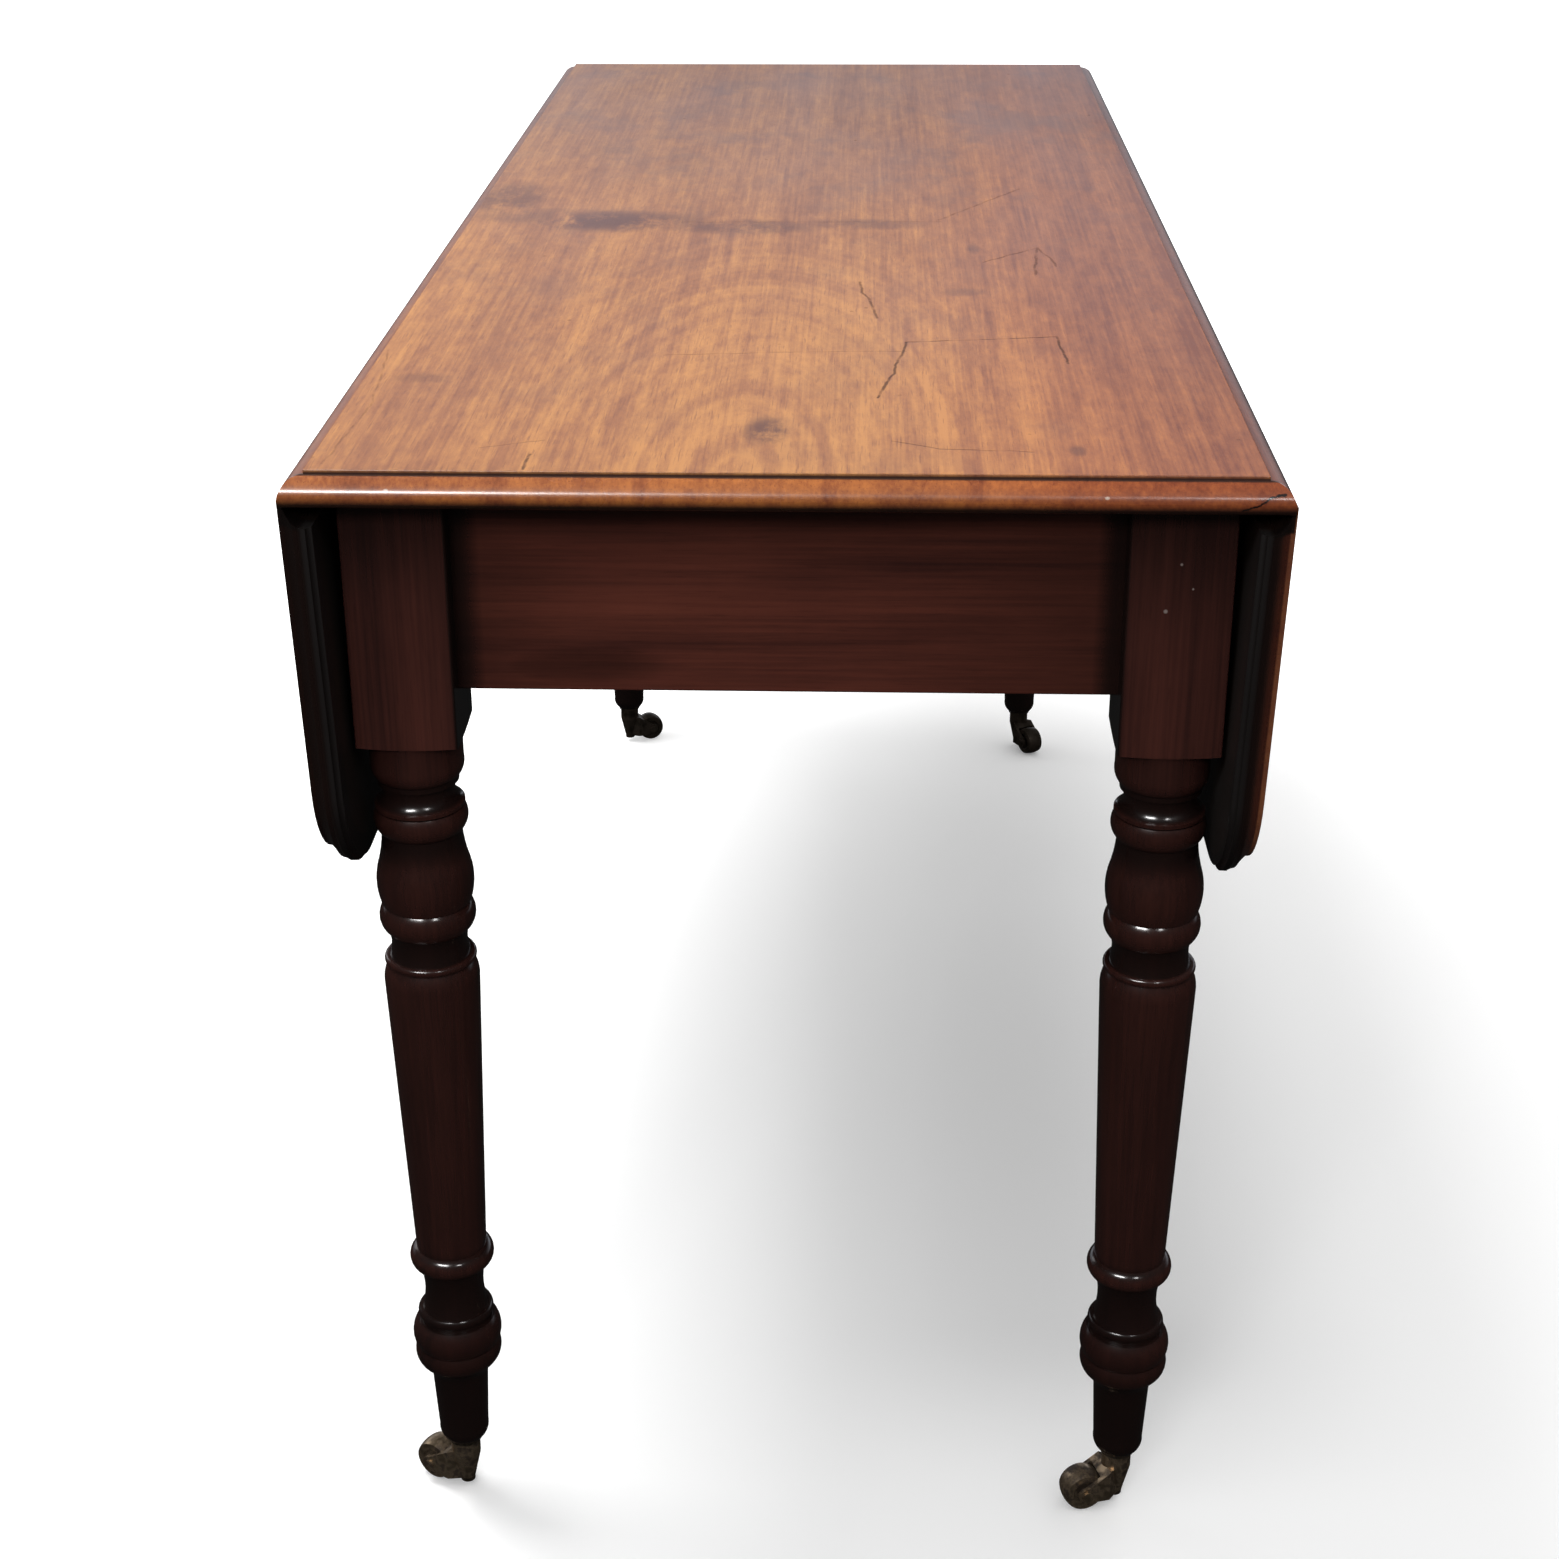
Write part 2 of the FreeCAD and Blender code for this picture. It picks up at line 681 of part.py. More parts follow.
# Fixed top: rule-joint section along Y, met by the moulded section along X.
ovolo_rise = arc_rise("rule_radius", "ovolo_foot", "rule_radius + pin_depth")
top_section = padded("top_section", "XZ_Plane", [
    ("-axis_x - ovolo_foot", "underside"),
    ("axis_x + ovolo_foot", "underside", ovolo_rise),
    ("axis_x", "axis_z + rule_radius"),
    ("axis_x", "table_height"),
    ("-axis_x", "table_height"),
    ("-axis_x", "axis_z + rule_radius", ovolo_rise),
], "top_length")
mould_foot = "table_height - rule_step - mould_drop"
mould_inner = "half_length - mould_reach"
nose_head = f"{mould_foot} + nose_rise"
top_ends = padded("top_ends", "YZ_Plane", [
    ("edge_round - half_length", "underside"),
    ("half_length - edge_round", "underside", round_rise),
    ("half_length", "underside + edge_round"),
    ("half_length", mould_foot, "nose_bulge"),
    ("half_length - nose_reach", nose_head, "mould_bulge"),
    (mould_inner, "table_height - rule_step"),
    (mould_inner, "table_height"),
    (f"-({mould_inner})", "table_height"),
    (f"-({mould_inner})", "table_height - rule_step", "mould_bulge"),
    ("nose_reach - half_length", nose_head, "nose_bulge"),
    ("-half_length", mould_foot),
    ("-half_length", "underside + edge_round", round_rise),
], "closed_width")
top_blank = doc.addObject("Part::Common", "top_blank")
top_blank.Base = top_section
top_blank.Tool = top_ends
knuckle_room = "pin_depth + working_gap"
frame_beds = hinge_beds("frame_beds", ("-frame_plate_reach", "0"), plate_head)
knuckle_beds = hinge_beds("knuckle_beds", (f"-({knuckle_room})", knuckle_room), knuckle_room, "working_gap")
swing_beds = hinge_beds("swing_beds", ("0", "leaf_plate_reach"), f"{plate_head} + working_gap", "working_gap")
right_beds = moved("right_beds", group("joint_beds", [frame_beds, knuckle_beds, swing_beds]), joint)
left_beds = mirror("left_beds", right_beds, ACROSS)

# Glue blocks under the top, each with a screw up into it.
half_block = "glue_block_length / 2"
block_foot_z = "underside - glue_block_side"
blocks = []
top_screw_list = []


def glue_block(name, x_span, y_span):
    """One glue block and its screw."""
    x_mid = f"(({x_span[0]}) + ({x_span[1]})) / 2"
    y_mid = f"(({y_span[0]}) + ({y_span[1]})) / 2"
    head = place(bound("Part::Cone", name + "_screw_head", screw_head), (x_mid, y_mid, block_foot_z))
    shank_foot = f"{block_foot_z} + hinge_thick"
    shank_head = "underside + top_screw_bite"
    shank = post(name + "_screw_shank", "screw_shank_radius", shank_foot, shank_head, x_mid, y_mid)
    screw = fuse(name + "_screw", [head, shank])
    block = span(name + "_blank", x_span, y_span, (block_foot_z, "underside"))
    blocks.append(cut(name, block, [screw]))
    top_screw_list.append(screw)


for side, sign in (("right", "1"), ("left", "-1")):
    middle = f"{sign} * front_block_place"
    glue_block(f"{side}_apron_block", (f"{middle} - {half_block}", f"{middle} + {half_block}"),
               ("-apron_back", "glue_block_side - apron_back"))
    for spot, centre in (("front", "-side_block_place"), ("middle", "-mid_block_place")):
        edges = sorted((f"{sign} * side_back", f"{sign} * (side_back - glue_block_side)"), key=value)
        glue_block(f"{side}_{spot}_block", edges, (f"{centre} - {half_block}", f"{centre} + {half_block}"))
keep(group("glue_blocks", blocks))
top_screws = keep(group("top_screws", top_screw_list))

keep(cut("top_board", top_blank, [right_beds, left_beds, right_frame_screws, left_frame_screws, top_screws]))

# Legs: square block over a turning, mortised for the rails and bored for the caster peg.
leg_profile = [
    ("0", "caster_height"),
    ("foot_end_radius", "caster_height", "foot_round_bulge"),
    ("foot_low_radius", "caster_height + foot_round_height"),
    ("foot_top_radius", "foot_head", "-flare_bulge"),
    ("base_bead_foot_radius", "flare_head", "base_bead_bulge"),
    ("base_bead_head_radius", "base_head"),
    ("base_groove_radius", "base_head"),
    ("base_groove_radius", "belly_foot"),
    ("belly_foot_radius", "belly_foot", "belly_bulge"),
    ("belly_head_radius", "belly_head"),
    ("ankle_groove_radius", "belly_head"),
    ("ankle_groove_radius", "ankle_collar_foot"),
    ("ankle_collar_radius", "ankle_collar_foot", "ankle_collar_bulge"),
    ("ankle_collar_radius", "ankle_foot"),
    ("ankle_radius", "ankle_foot", "-ankle_bulge"),
    ("ankle_radius", "ankle_head"),
    ("ring_radius", "ankle_head", "ring_bulge"),
    ("ring_radius", "ring_head"),
    ("shaft_low_radius", "ring_head"),
    ("shaft_top_radius", "shoulder_foot", "shoulder_bulge"),
    ("shoulder_radius", "astragal_foot"),
    ("astragal_radius", "astragal_foot", "astragal_bulge"),
    ("astragal_radius", "cove_foot"),
    ("cove_radius", "cove_foot", "-cove_bulge"),
    ("cove_radius", "bead_foot"),
    ("bead_radius", "bead_foot", "bead_bulge"),
    ("bead_radius", "vase_foot"),
    ("vase_radius", "vase_foot", "vase_bulge"),
    ("vase_radius", "vase_foot + vase_belly_height", "-vase_neck_bulge"),
    ("vase_neck_radius", "neck_bead_foot"),
    ("neck_bead_foot_radius", "neck_bead_foot", "neck_bead_bulge"),
    ("neck_bead_head_radius", "groove_foot"),
    ("groove_radius", "groove_foot"),
    ("groove_radius", "lip_foot"),
    ("lip_radius", "lip_foot"),
    ("lip_radius", "throat_foot", "-throat_bulge"),
    ("neck_radius", "neck_foot"),
    ("neck_radius", "fillet_foot"),
    ("fillet_radius", "fillet_foot"),
    ("fillet_radius", "drum_foot", "drum_round_bulge"),
    ("drum_radius", "drum_foot + drum_round_height"),
    ("drum_radius", "block_foot"),
    ("0", "block_foot"),
]


def end_tenon(name, y_mid, z_span, width):
    """Tenon of an end rail in the right-hand leg block."""
    y_span = (f"{y_mid} - {width} / 2", f"{y_mid} + {width} / 2")
    return span(name, ("inner_x", "inner_x + tenon_length"), y_span, z_span)


def side_tenon(name, low, high):
    """Tenon of the right side rail in a leg block."""
    x_span = ("side_mid - tenon_thick / 2", "side_mid + tenon_thick / 2")
    return span(name, x_span, (low, high), ("tenon_foot", "tenon_foot + tenon_height"))


peg_tip = "caster_height + peg_length"


def right_leg(name, y, tools):
    """One right-hand leg, cut for the pieces that enter it."""
    turning = turned(name + "_turning", "XZ_Plane", leg_profile, "V_Axis")
    place(turning, ("leg_x", y, "0"))
    y_span = (f"({y}) - half_square", f"({y}) + half_square")
    square = span(name + "_square", ("inner_x", "leg_x + half_square"), y_span, ("block_foot", "underside"))
    pommel = bound("Part::Cone", name + "_pommel", {
        "Radius1": "half_square", "Radius2": "half_square + block_height * corner_gain / pommel_height",
        "Height": "block_height"})
    place(pommel, ("leg_x", y, "block_foot"))
    block = doc.addObject("Part::Common", name + "_block")
    block.Base = square
    block.Tool = pommel
    hole_foot = "caster_height - cut_overrun"
    peg_hole = post(name + "_peg_hole", "peg_radius", hole_foot, peg_tip, "leg_x", y)
    return cut(name, fuse(name + "_blank", [turning, block]), tools + [peg_hole])


full_tenon = ("tenon_foot", "tenon_foot + tenon_height")
lower_tenon = ("apron_foot + rail_tenon_shoulder", "lower_rail_head - rail_tenon_shoulder")
upper_tenon = ("upper_rail_foot + rail_tenon_shoulder", "underside - rail_tenon_shoulder")
front_tenon = end_tenon("front_tenon", "-(apron_mid)", full_tenon, "tenon_thick")
lower_rail_tenon = end_tenon("lower_rail_tenon", "apron_mid", lower_tenon, "rail_tenon_width")
upper_rail_tenon = end_tenon("upper_rail_tenon", "apron_mid", upper_tenon, "rail_tenon_width")
side_front_tenon = side_tenon("side_front_tenon", "-inner_y - tenon_length", "-inner_y")
side_rear_tenon = side_tenon("side_rear_tenon", "inner_y", "inner_y + tenon_length")
keep_pair("left_front_leg", right_leg("right_front_leg", "-leg_y", [front_tenon, side_front_tenon]))
keep_pair("left_rear_leg", right_leg(
    "right_rear_leg", "leg_y", [lower_rail_tenon, upper_rail_tenon, side_rear_tenon]))


def end_rail(name, y_span, z_span, tenon):
    """Rail across one end of the frame, tenoned into both legs."""
    board = span(name + "_board", ("-inner_x", "inner_x"), y_span, z_span)
    return keep(fuse(name, [board, tenon, mirror(name + "_left_tenon", tenon, ACROSS)]))


rail_height = ("apron_foot", "underside")
end_rail("front_rail", ("-apron_face", "-apron_back"), rail_height, front_tenon)
rail_depth = ("apron_face - drawer_rail_depth", "apron_face")
end_rail("rear_lower_rail", rail_depth, ("apron_foot", "lower_rail_head"), lower_rail_tenon)
end_rail("rear_upper_rail", rail_depth, ("upper_rail_foot", "underside"), upper_rail_tenon)
side_board = span("side_board", ("side_back", "side_face"), ("-inner_y", "inner_y"), rail_height)
keep_pair("left_side_rail", fuse("right_side_rail", [side_board, side_front_tenon, side_rear_tenon]))

# Fly rail: a middle length with the fixed knuckles, and two end lengths.
fly_x = ("side_face", "fly_face")
fly_z = ("fly_foot", "underside")
bracket_tip = "bracket_pivot + bracket_length"


def finger_span(number):
    """Heights of one of the knuckles, counted from the bottom."""
    low = f"fly_foot + {number} * finger_height"
    return (low if number == 0 else f"{low} + working_gap / 2", f"{low} + finger_height - working_gap / 2")


middle_y = ("bracket_relief - bracket_pivot", "bracket_pivot - bracket_relief")
middle_parts = [span("fly_middle", fly_x, middle_y, fly_z)]
pin_holes = []
bracket_pins = []
for end, sign in (("front", "-1"), ("rear", "1")):
    pivot = f"{sign} * bracket_pivot"
    shoulder = f"{sign} * (bracket_pivot - bracket_relief)"
    edges = sorted((pivot, shoulder), key=value)
    for number in range(0, KNUCKLES, 2):
        z_span = finger_span(number)
        label = f"fly_{end}_{number}"
        neck_x = ("fly_mid - knuckle_reach", "fly_mid + knuckle_reach")
        middle_parts.append(span(label + "_neck", neck_x, edges, z_span))
        middle_parts.append(post(label + "_knuckle", "knuckle_reach", *z_span, "fly_mid", pivot))
    pin = post(f"right_{end}_pin", "bracket_pin_radius", "fly_foot", "bracket_head", "fly_mid", pivot)
    pin_holes.append(pin)
    bracket_pins.append(pin)
    bracket_pins.append(mirror(f"left_{end}_pin", pin, ACROSS))
fly_middle = cut("fly_middle_bored", fuse("fly_middle_blank", middle_parts), pin_holes)
fly_front = span("fly_front", fly_x, ("-inner_y", f"-({bracket_tip}) - 2 * working_gap"), fly_z)
fly_rear = span("fly_rear", fly_x, (f"{bracket_tip} + 2 * working_gap", "inner_y"), fly_z)
keep_pair("left_fly_rail", group("right_fly_rail", [fly_middle, fly_front, fly_rear]))
keep(group("bracket_pins", bracket_pins))

# Fly bracket: drawn about its knuckle pin, pointing to the front leg.
bracket_blade = padded("bracket_blade", "YZ_Plane", [
    ("-bracket_relief", "bracket_head"),
    ("-bracket_length", "bracket_head"),
    ("-bracket_length", "bracket_head - bracket_tip_height"),
    ("bracket_nose - bracket_length", "bracket_head - bracket_tip_height", "-bracket_bulge"),
    ("-bracket_relief - bracket_heel", "fly_foot"),
    ("-bracket_relief", "fly_foot"),
], "bracket_thick")
bracket_parts = [bracket_blade]
for number in range(1, KNUCKLES, 2):
    z_span = finger_span(number)
    neck_x = ("-knuckle_reach", "knuckle_reach")
    bracket_parts.append(span(f"bracket_neck_{number}", neck_x, ("-bracket_relief", "0"), z_span))
    bracket_parts.append(post(f"bracket_knuckle_{number}", "knuckle_reach", *z_span))
bracket_bore = post("bracket_bore", "bracket_pin_radius + running_gap", "fly_foot", "underside")
right_front_bracket = cut("right_front_bracket", fuse("bracket_blank", bracket_parts), [bracket_bore])
place(right_front_bracket, ("fly_mid", "-bracket_pivot", "0"))
keep_pair("left_front_bracket", right_front_bracket)
keep_pair("left_rear_bracket", mirror("right_rear_bracket", right_front_bracket, ALONG))

# Drawer runners with guides, kickers and stops.
runner_y = ("runner_end", "inner_y")
runner_x = ("inner_x - runner_reach", "side_back")
runner = span("runner_board", runner_x, runner_y, ("apron_foot", "lower_rail_head"))
guide_z = ("lower_rail_head", "lower_rail_head + guide_height")
guide = span("runner_guide", ("inner_x", "side_back"), runner_y, guide_z)
keep_pair("left_drawer_runner", fuse("right_drawer_runner", [runner, guide]))
kicker = span("right_kicker", runner_x, runner_y, ("upper_rail_foot", "underside"))
keep(group("drawer_kickers", [kicker, mirror("left_kicker", kicker, ACROSS)]))
stop_y = ("front_back_y - working_gap - stop_width", "front_back_y - working_gap")
stop = span("right_stop", ("stop_place - stop_length / 2", "stop_place + stop_length / 2"), stop_y,
            ("lower_rail_head", "lower_rail_head + stop_height"))
keep(group("drawer_stops", [stop, mirror("left_stop", stop, ACROSS)]))

# Drawer: sides dovetailed into the front, bottom let into grooves.
drawer_bottom = span(
    "drawer_bottom", ("-drawer_inside - drawer_groove", "drawer_inside + drawer_groove"),
    ("drawer_back_y", "front_back_y + drawer_groove"), ("bottom_foot", "bottom_head"))
keep(drawer_bottom)
side_x = ("drawer_inside", "drawer_half")
side_parts = [span("side_plank", side_x, ("drawer_back_y", "front_back_y"), ("drawer_foot", "side_head"))]
tail_middle = "(drawer_foot + side_head) / 2"
for number in (-1, 0, 1):
    centre = f"{tail_middle} + {number} * tail_pitch"
    tail = bound("Part::Wedge", f"tail_{number + 1}", {
        "Xmin": "drawer_inside", "X2min": "drawer_inside", "Xmax": "drawer_half", "X2max": "drawer_half",
        "Ymin": "front_back_y", "Ymax": "apron_face - drawer_lap",
        "Zmin": f"{centre} - tail_width / 2", "Zmax": f"{centre} + tail_width / 2",
        "Z2min": f"{centre} - tail_width / 2 - tail_splay",
        "Z2max": f"{centre} + tail_width / 2 + tail_splay",
    })
    side_parts.append(tail)
right_side = cut("drawer_right_side", fuse("side_blank", side_parts), [drawer_bottom])
left_side = keep_pair("drawer_left_side", right_side)
back_y = ("drawer_back_y", "drawer_back_y + drawer_side_thick")
keep(span("drawer_back", ("-drawer_inside", "drawer_inside"), back_y, ("bottom_head", "side_head")))
knob = turned("knob_turning", "XZ_Plane", [
    ("0", "-drawer_front_thick"),
    ("knob_spigot_radius", "-drawer_front_thick"),
    ("knob_spigot_radius", "0"),
    ("knob_base_radius", "0"),
    ("knob_base_radius", "knob_base_thick", "-knob_neck_bulge"),
    ("knob_neck_radius", "knob_base_thick + knob_neck_length", "-knob_neck_bulge"),
    ("knob_radius", "knob_length - knob_rim_height - knob_rim_round", "knob_rim_bulge"),
    ("knob_radius - knob_rim_round", "knob_length - knob_rim_round", "knob_face_bulge"),
    ("knob_spigot_radius", "knob_length"),
    ("0", "knob_length"),
], "V_Axis")
right_knob = place(group("right_knob", [knob]), ("knob_place", "apron_face", "knob_z"), ACROSS, "-90")
knobs = keep(group("drawer_knobs", [right_knob, mirror("left_knob", right_knob, ACROSS)]))
front_board = span("front_board", ("-drawer_half", "drawer_half"), ("front_back_y", "apron_face"),
                   ("drawer_foot", "drawer_head"))
keep(cut("drawer_front", front_board, [right_side, left_side, drawer_bottom, knobs]))

# Casters: peg fixed in the foot, horn that swivels on it, wheel on an axle pin.
corners = {
    "front_left": ("-leg_x", "-leg_y"),
    "front_right": ("leg_x", "-leg_y"),
    "rear_left": ("-leg_x", "leg_y"),
    "rear_right": ("leg_x", "leg_y"),
}
horn_side = padded("horn_side", "XZ_Plane", [
    ("0", "horn_lift"),
    ("caster_trail", "caster_wheel_radius - horn_eye_radius"),
    ("caster_trail", "caster_wheel_radius + horn_eye_radius"),
    ("horn_flare", "boss_foot + horn_lap"),
    ("0", "boss_foot + horn_lap"),
], "2 * horn_half")
horn_plan = padded("horn_plan", "XY_Plane", [
    ("0", "-horn_neck_radius"),
    ("horn_flare", "-horn_half"),
    ("caster_trail", "-horn_half"),
    ("caster_trail", "horn_half"),
    ("horn_flare", "horn_half"),
    ("0", "horn_neck_radius"),
], "2 * boss_head")
horn_fork = doc.addObject("Part::Common", "horn_fork")
horn_fork.Base = horn_side
horn_fork.Tool = horn_plan
horn_neck = bound("Part::Cone", "horn_neck", {
    "Radius1": "horn_neck_radius", "Radius2": "boss_radius", "Height": "boss_foot - horn_lift"})
place(horn_neck, ("0", "0", "horn_lift"))
boss = post("horn_boss", "boss_radius", "boss_foot", "boss_head")
hub = ("caster_trail", "caster_wheel_radius")
horn_eye = barrel("horn_eye", "horn_eye_radius", "-horn_half", "horn_half", *hub)
wheel_room = barrel("wheel_room", "wheel_space", "-horn_gap", "horn_gap", *hub)
peg_bore = post("peg_bore", "peg_radius + running_gap", "0", "caster_height")
axle_hole = barrel("axle_hole", "axle_radius", "-horn_half", "horn_half", *hub)
horn_blank = fuse("horn_blank", [horn_fork, horn_neck, boss, horn_eye])
horn = cut("horn", horn_blank, [wheel_room, peg_bore, axle_hole])
axle_tail = "horn_half + axle_head_thick"
axle = fuse("axle", [
    barrel("axle_near", "axle_head_radius", f"-({axle_tail})", "-horn_half", *hub),
    barrel("axle_far", "axle_head_radius", "horn_half", axle_tail, *hub),
    barrel("axle_pin", "axle_radius", f"-({axle_tail})", axle_tail, *hub),
])
wheel_bore = "axle_radius + running_gap"
hub_face = "wheel_half - caster_hub_recess"
rim = "caster_wheel_radius - caster_wheel_crown"
wheel = turned("wheel", "XZ_Plane", [
    (wheel_bore, f"-({hub_face})"),
    ("caster_hub_radius", f"-({hub_face})"),
    ("caster_hub_radius + caster_hub_recess", "-wheel_half"),
    (rim, "-wheel_half", "caster_wheel_crown"),
    (rim, "wheel_half"),
    ("caster_hub_radius + caster_hub_recess", "wheel_half"),
    ("caster_hub_radius", hub_face),
    (wheel_bore, hub_face),
], "V_Axis")
standing_wheel = group("standing_wheel", [wheel])
standing_wheel.Placement.Rotation = FreeCAD.Rotation(ACROSS, -90)
place(standing_wheel, ("caster_trail", "0", "caster_wheel_radius"))
peg_foot = "peg_head_top - peg_head_thick"
pegs = []
for name, (x, y) in corners.items():
    base = (x, y, "0")
    angle = f"{name}_angle"
    keep(moved(f"{name}_horn", horn, base, UP, angle))
    keep(moved(f"{name}_axle", axle, base, UP, angle))
    keep(moved(f"{name}_wheel", standing_wheel, base, UP, angle))
    peg_parts = [
        post(f"{name}_peg_stem", "peg_radius", peg_foot, peg_tip, x, y),
        post(f"{name}_peg_plate", "peg_plate_radius", "boss_head + working_gap", "caster_height", x, y),
        post(f"{name}_peg_head", "peg_head_radius", peg_foot, "peg_head_top", x, y),
    ]
    pegs.append(fuse(f"{name}_peg", peg_parts))
keep(group("caster_pegs", pegs))

# Check every object, then write the sub-parts.
doc.recompute()
for item in doc.Objects:
    if "Invalid" in item.State or "Error" in item.State:
        raise RuntimeError(f"{item.Name} did not rebuild: {item.State}")
os.makedirs("parts", exist_ok=True)
for name, item in pieces.items():
    if item.Shape.isNull() or not item.Shape.isValid():
        raise RuntimeError(f"{name} has no valid shape")
    item.Shape.exportStep(f"parts/{name}.step")
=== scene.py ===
"""Looks of a drop-leaf pembroke table: polished wood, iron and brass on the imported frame."""

import json
import math

import bmesh
import bpy
from mathutils import Matrix, Vector


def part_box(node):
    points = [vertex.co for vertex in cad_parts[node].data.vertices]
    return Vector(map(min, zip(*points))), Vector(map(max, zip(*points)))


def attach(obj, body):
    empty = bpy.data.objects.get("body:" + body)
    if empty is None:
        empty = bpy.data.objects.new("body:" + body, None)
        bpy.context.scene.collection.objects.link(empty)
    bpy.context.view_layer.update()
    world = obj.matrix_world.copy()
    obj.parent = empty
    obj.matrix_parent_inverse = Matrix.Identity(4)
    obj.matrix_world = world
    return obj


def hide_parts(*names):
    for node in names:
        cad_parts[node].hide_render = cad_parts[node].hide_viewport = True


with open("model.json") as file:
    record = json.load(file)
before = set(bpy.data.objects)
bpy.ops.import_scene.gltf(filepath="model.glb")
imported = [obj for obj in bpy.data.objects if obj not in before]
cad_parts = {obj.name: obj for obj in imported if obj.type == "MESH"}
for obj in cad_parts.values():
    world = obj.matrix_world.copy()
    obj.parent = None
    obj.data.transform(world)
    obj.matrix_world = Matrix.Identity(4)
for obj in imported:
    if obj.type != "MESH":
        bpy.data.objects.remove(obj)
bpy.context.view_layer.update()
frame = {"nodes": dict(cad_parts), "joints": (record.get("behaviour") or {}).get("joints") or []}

bl_info = {
    "name": "Pembroke table",
    "version": (1, 0, 0),
    "blender": (4, 5, 0),
    "location": "View3D > Sidebar > Table",
    "description": "Finishes a drop-leaf table over its packed frame",
    "category": "Object",
}

MM = 0.001
PHOTO_SIDE = 1559
SENSOR_WIDTH = 36.0
MERGE_GAP = 0.01 * MM
ON_FACE = 0.05 * MM
FLAT_ANGLE = math.radians(0.2)
CREASE_ANGLE = math.radians(30)
BROAD_AREA = 1500 * MM * MM
SIDES = {"left": -1, "right": 1}
ENDS = ("front", "rear")
JOINTS = {joint["name"]: joint for joint in frame["joints"]}

# Places on the table that the finishes follow.
TABLE_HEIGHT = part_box("top_board")[1].z
HALF_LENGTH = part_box("top_board")[1].y
HINGE_X = JOINTS["right_leaf_lift"]["pos_m"][0]
LEAF_REACH = JOINTS["right_leaf_lift"]["pos_m"][2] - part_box("right_leaf")[0].z
LEAF_CORNER = 60 * MM
QUIRK_Y = HALF_LENGTH - 9 * MM
QUIRK_Z = TABLE_HEIGHT - 2.5 * MM
RULE_JOINT = (236 * MM, 242 * MM)
BLOCK_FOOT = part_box("front_rail")[0].z - 32 * MM
BLOCK_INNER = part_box("right_front_leg")[0].x
LEG_X = sum(corner.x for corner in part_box("right_rear_leg")) / 2
LEG_Y = sum(corner.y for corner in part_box("right_rear_leg")) / 2
SHAFT_FOOT = 190 * MM
SHAFT_HEAD = 397 * MM
TURNED_RADII = (26.3 * MM, 23.5 * MM)

# How far the painted shade of each leaf's near end reaches, and how much of it is lifted, as painted
# light, on its outer corner.
EDGE_DEPTH = {"left": 16 * MM, "right": 9.5 * MM}
EDGE_GLOW = {"left": 0.0, "right": 0.42}

# Tones of wear and dirt, then tints that multiply the wood's colour; the right, far and leaf-end tints
# are painted shade.
BARE_WOOD = (0.6, 0.45, 0.36)
PALE_NICK = (0.3, 0.24, 0.22)
PALE_CHIP = (0.3, 0.25, 0.25)
STAIN = (0.09, 0.034, 0.032)
SMEAR = (0.15, 0.075, 0.06)
RED_POLISH = (0.2, 0.062, 0.032)
DUSTY_PORE = (0.07, 0.04, 0.022)
IRON = (0.075, 0.068, 0.062)
RUST = (0.11, 0.045, 0.02)
TARNISH = (0.05, 0.035, 0.024)
FLOOR_WHITE = (0.86, 0.86, 0.86)
RIGHT_PAINTED_SHADE = (1.0, 0.85, 0.82)
FAR_PAINTED_SHADE = (0.51, 0.54, 0.76)
MOULDING_TINT = (0.98, 0.72, 0.56)
ROUND_TINT = (0.56, 0.45, 0.5)
LEAF_END_PAINTED_SHADE = (0.95, 0.62, 0.62)


class Value:
    """One shader value: sums written on it become Math nodes."""

    def __init__(self, finish, socket):
        self.finish = finish
        self.socket = socket

    def other(self, name):
        """Another output of the node that this value comes from."""
        return Value(self.finish, self.socket.node.outputs[name])

    def math(self, operation, first, second=0.0):
        return self.finish.add("ShaderNodeMath", {"operation": operation}, {0: first, 1: second})

    def __add__(self, other):
        return self.math("ADD", self, other)

    def __sub__(self, other):
        return self.math("SUBTRACT", self, other)

    def __rsub__(self, other):
        return self.math("SUBTRACT", other, self)

    def __mul__(self, other):
        return self.math("MULTIPLY", self, other)

    def __truediv__(self, other):
        return self.math("DIVIDE", self, other)

    def __pow__(self, power):
        return self.math("POWER", self, power)

    def __abs__(self):
        return self.math("ABSOLUTE", self)

    __radd__ = __add__
    __rmul__ = __mul__

    def least(self, other):
        return self.math("MINIMUM", self, other)

    def most(self, other):
        return self.math("MAXIMUM", self, other)

    def ramp(self, low, high):
        """0 at low and 1 at high, with a smooth way between."""
        return self.finish.add(
            "ShaderNodeMapRange", {"interpolation_type": "SMOOTHSTEP"},
            {"Value": self, "From Min": low, "From Max": high})


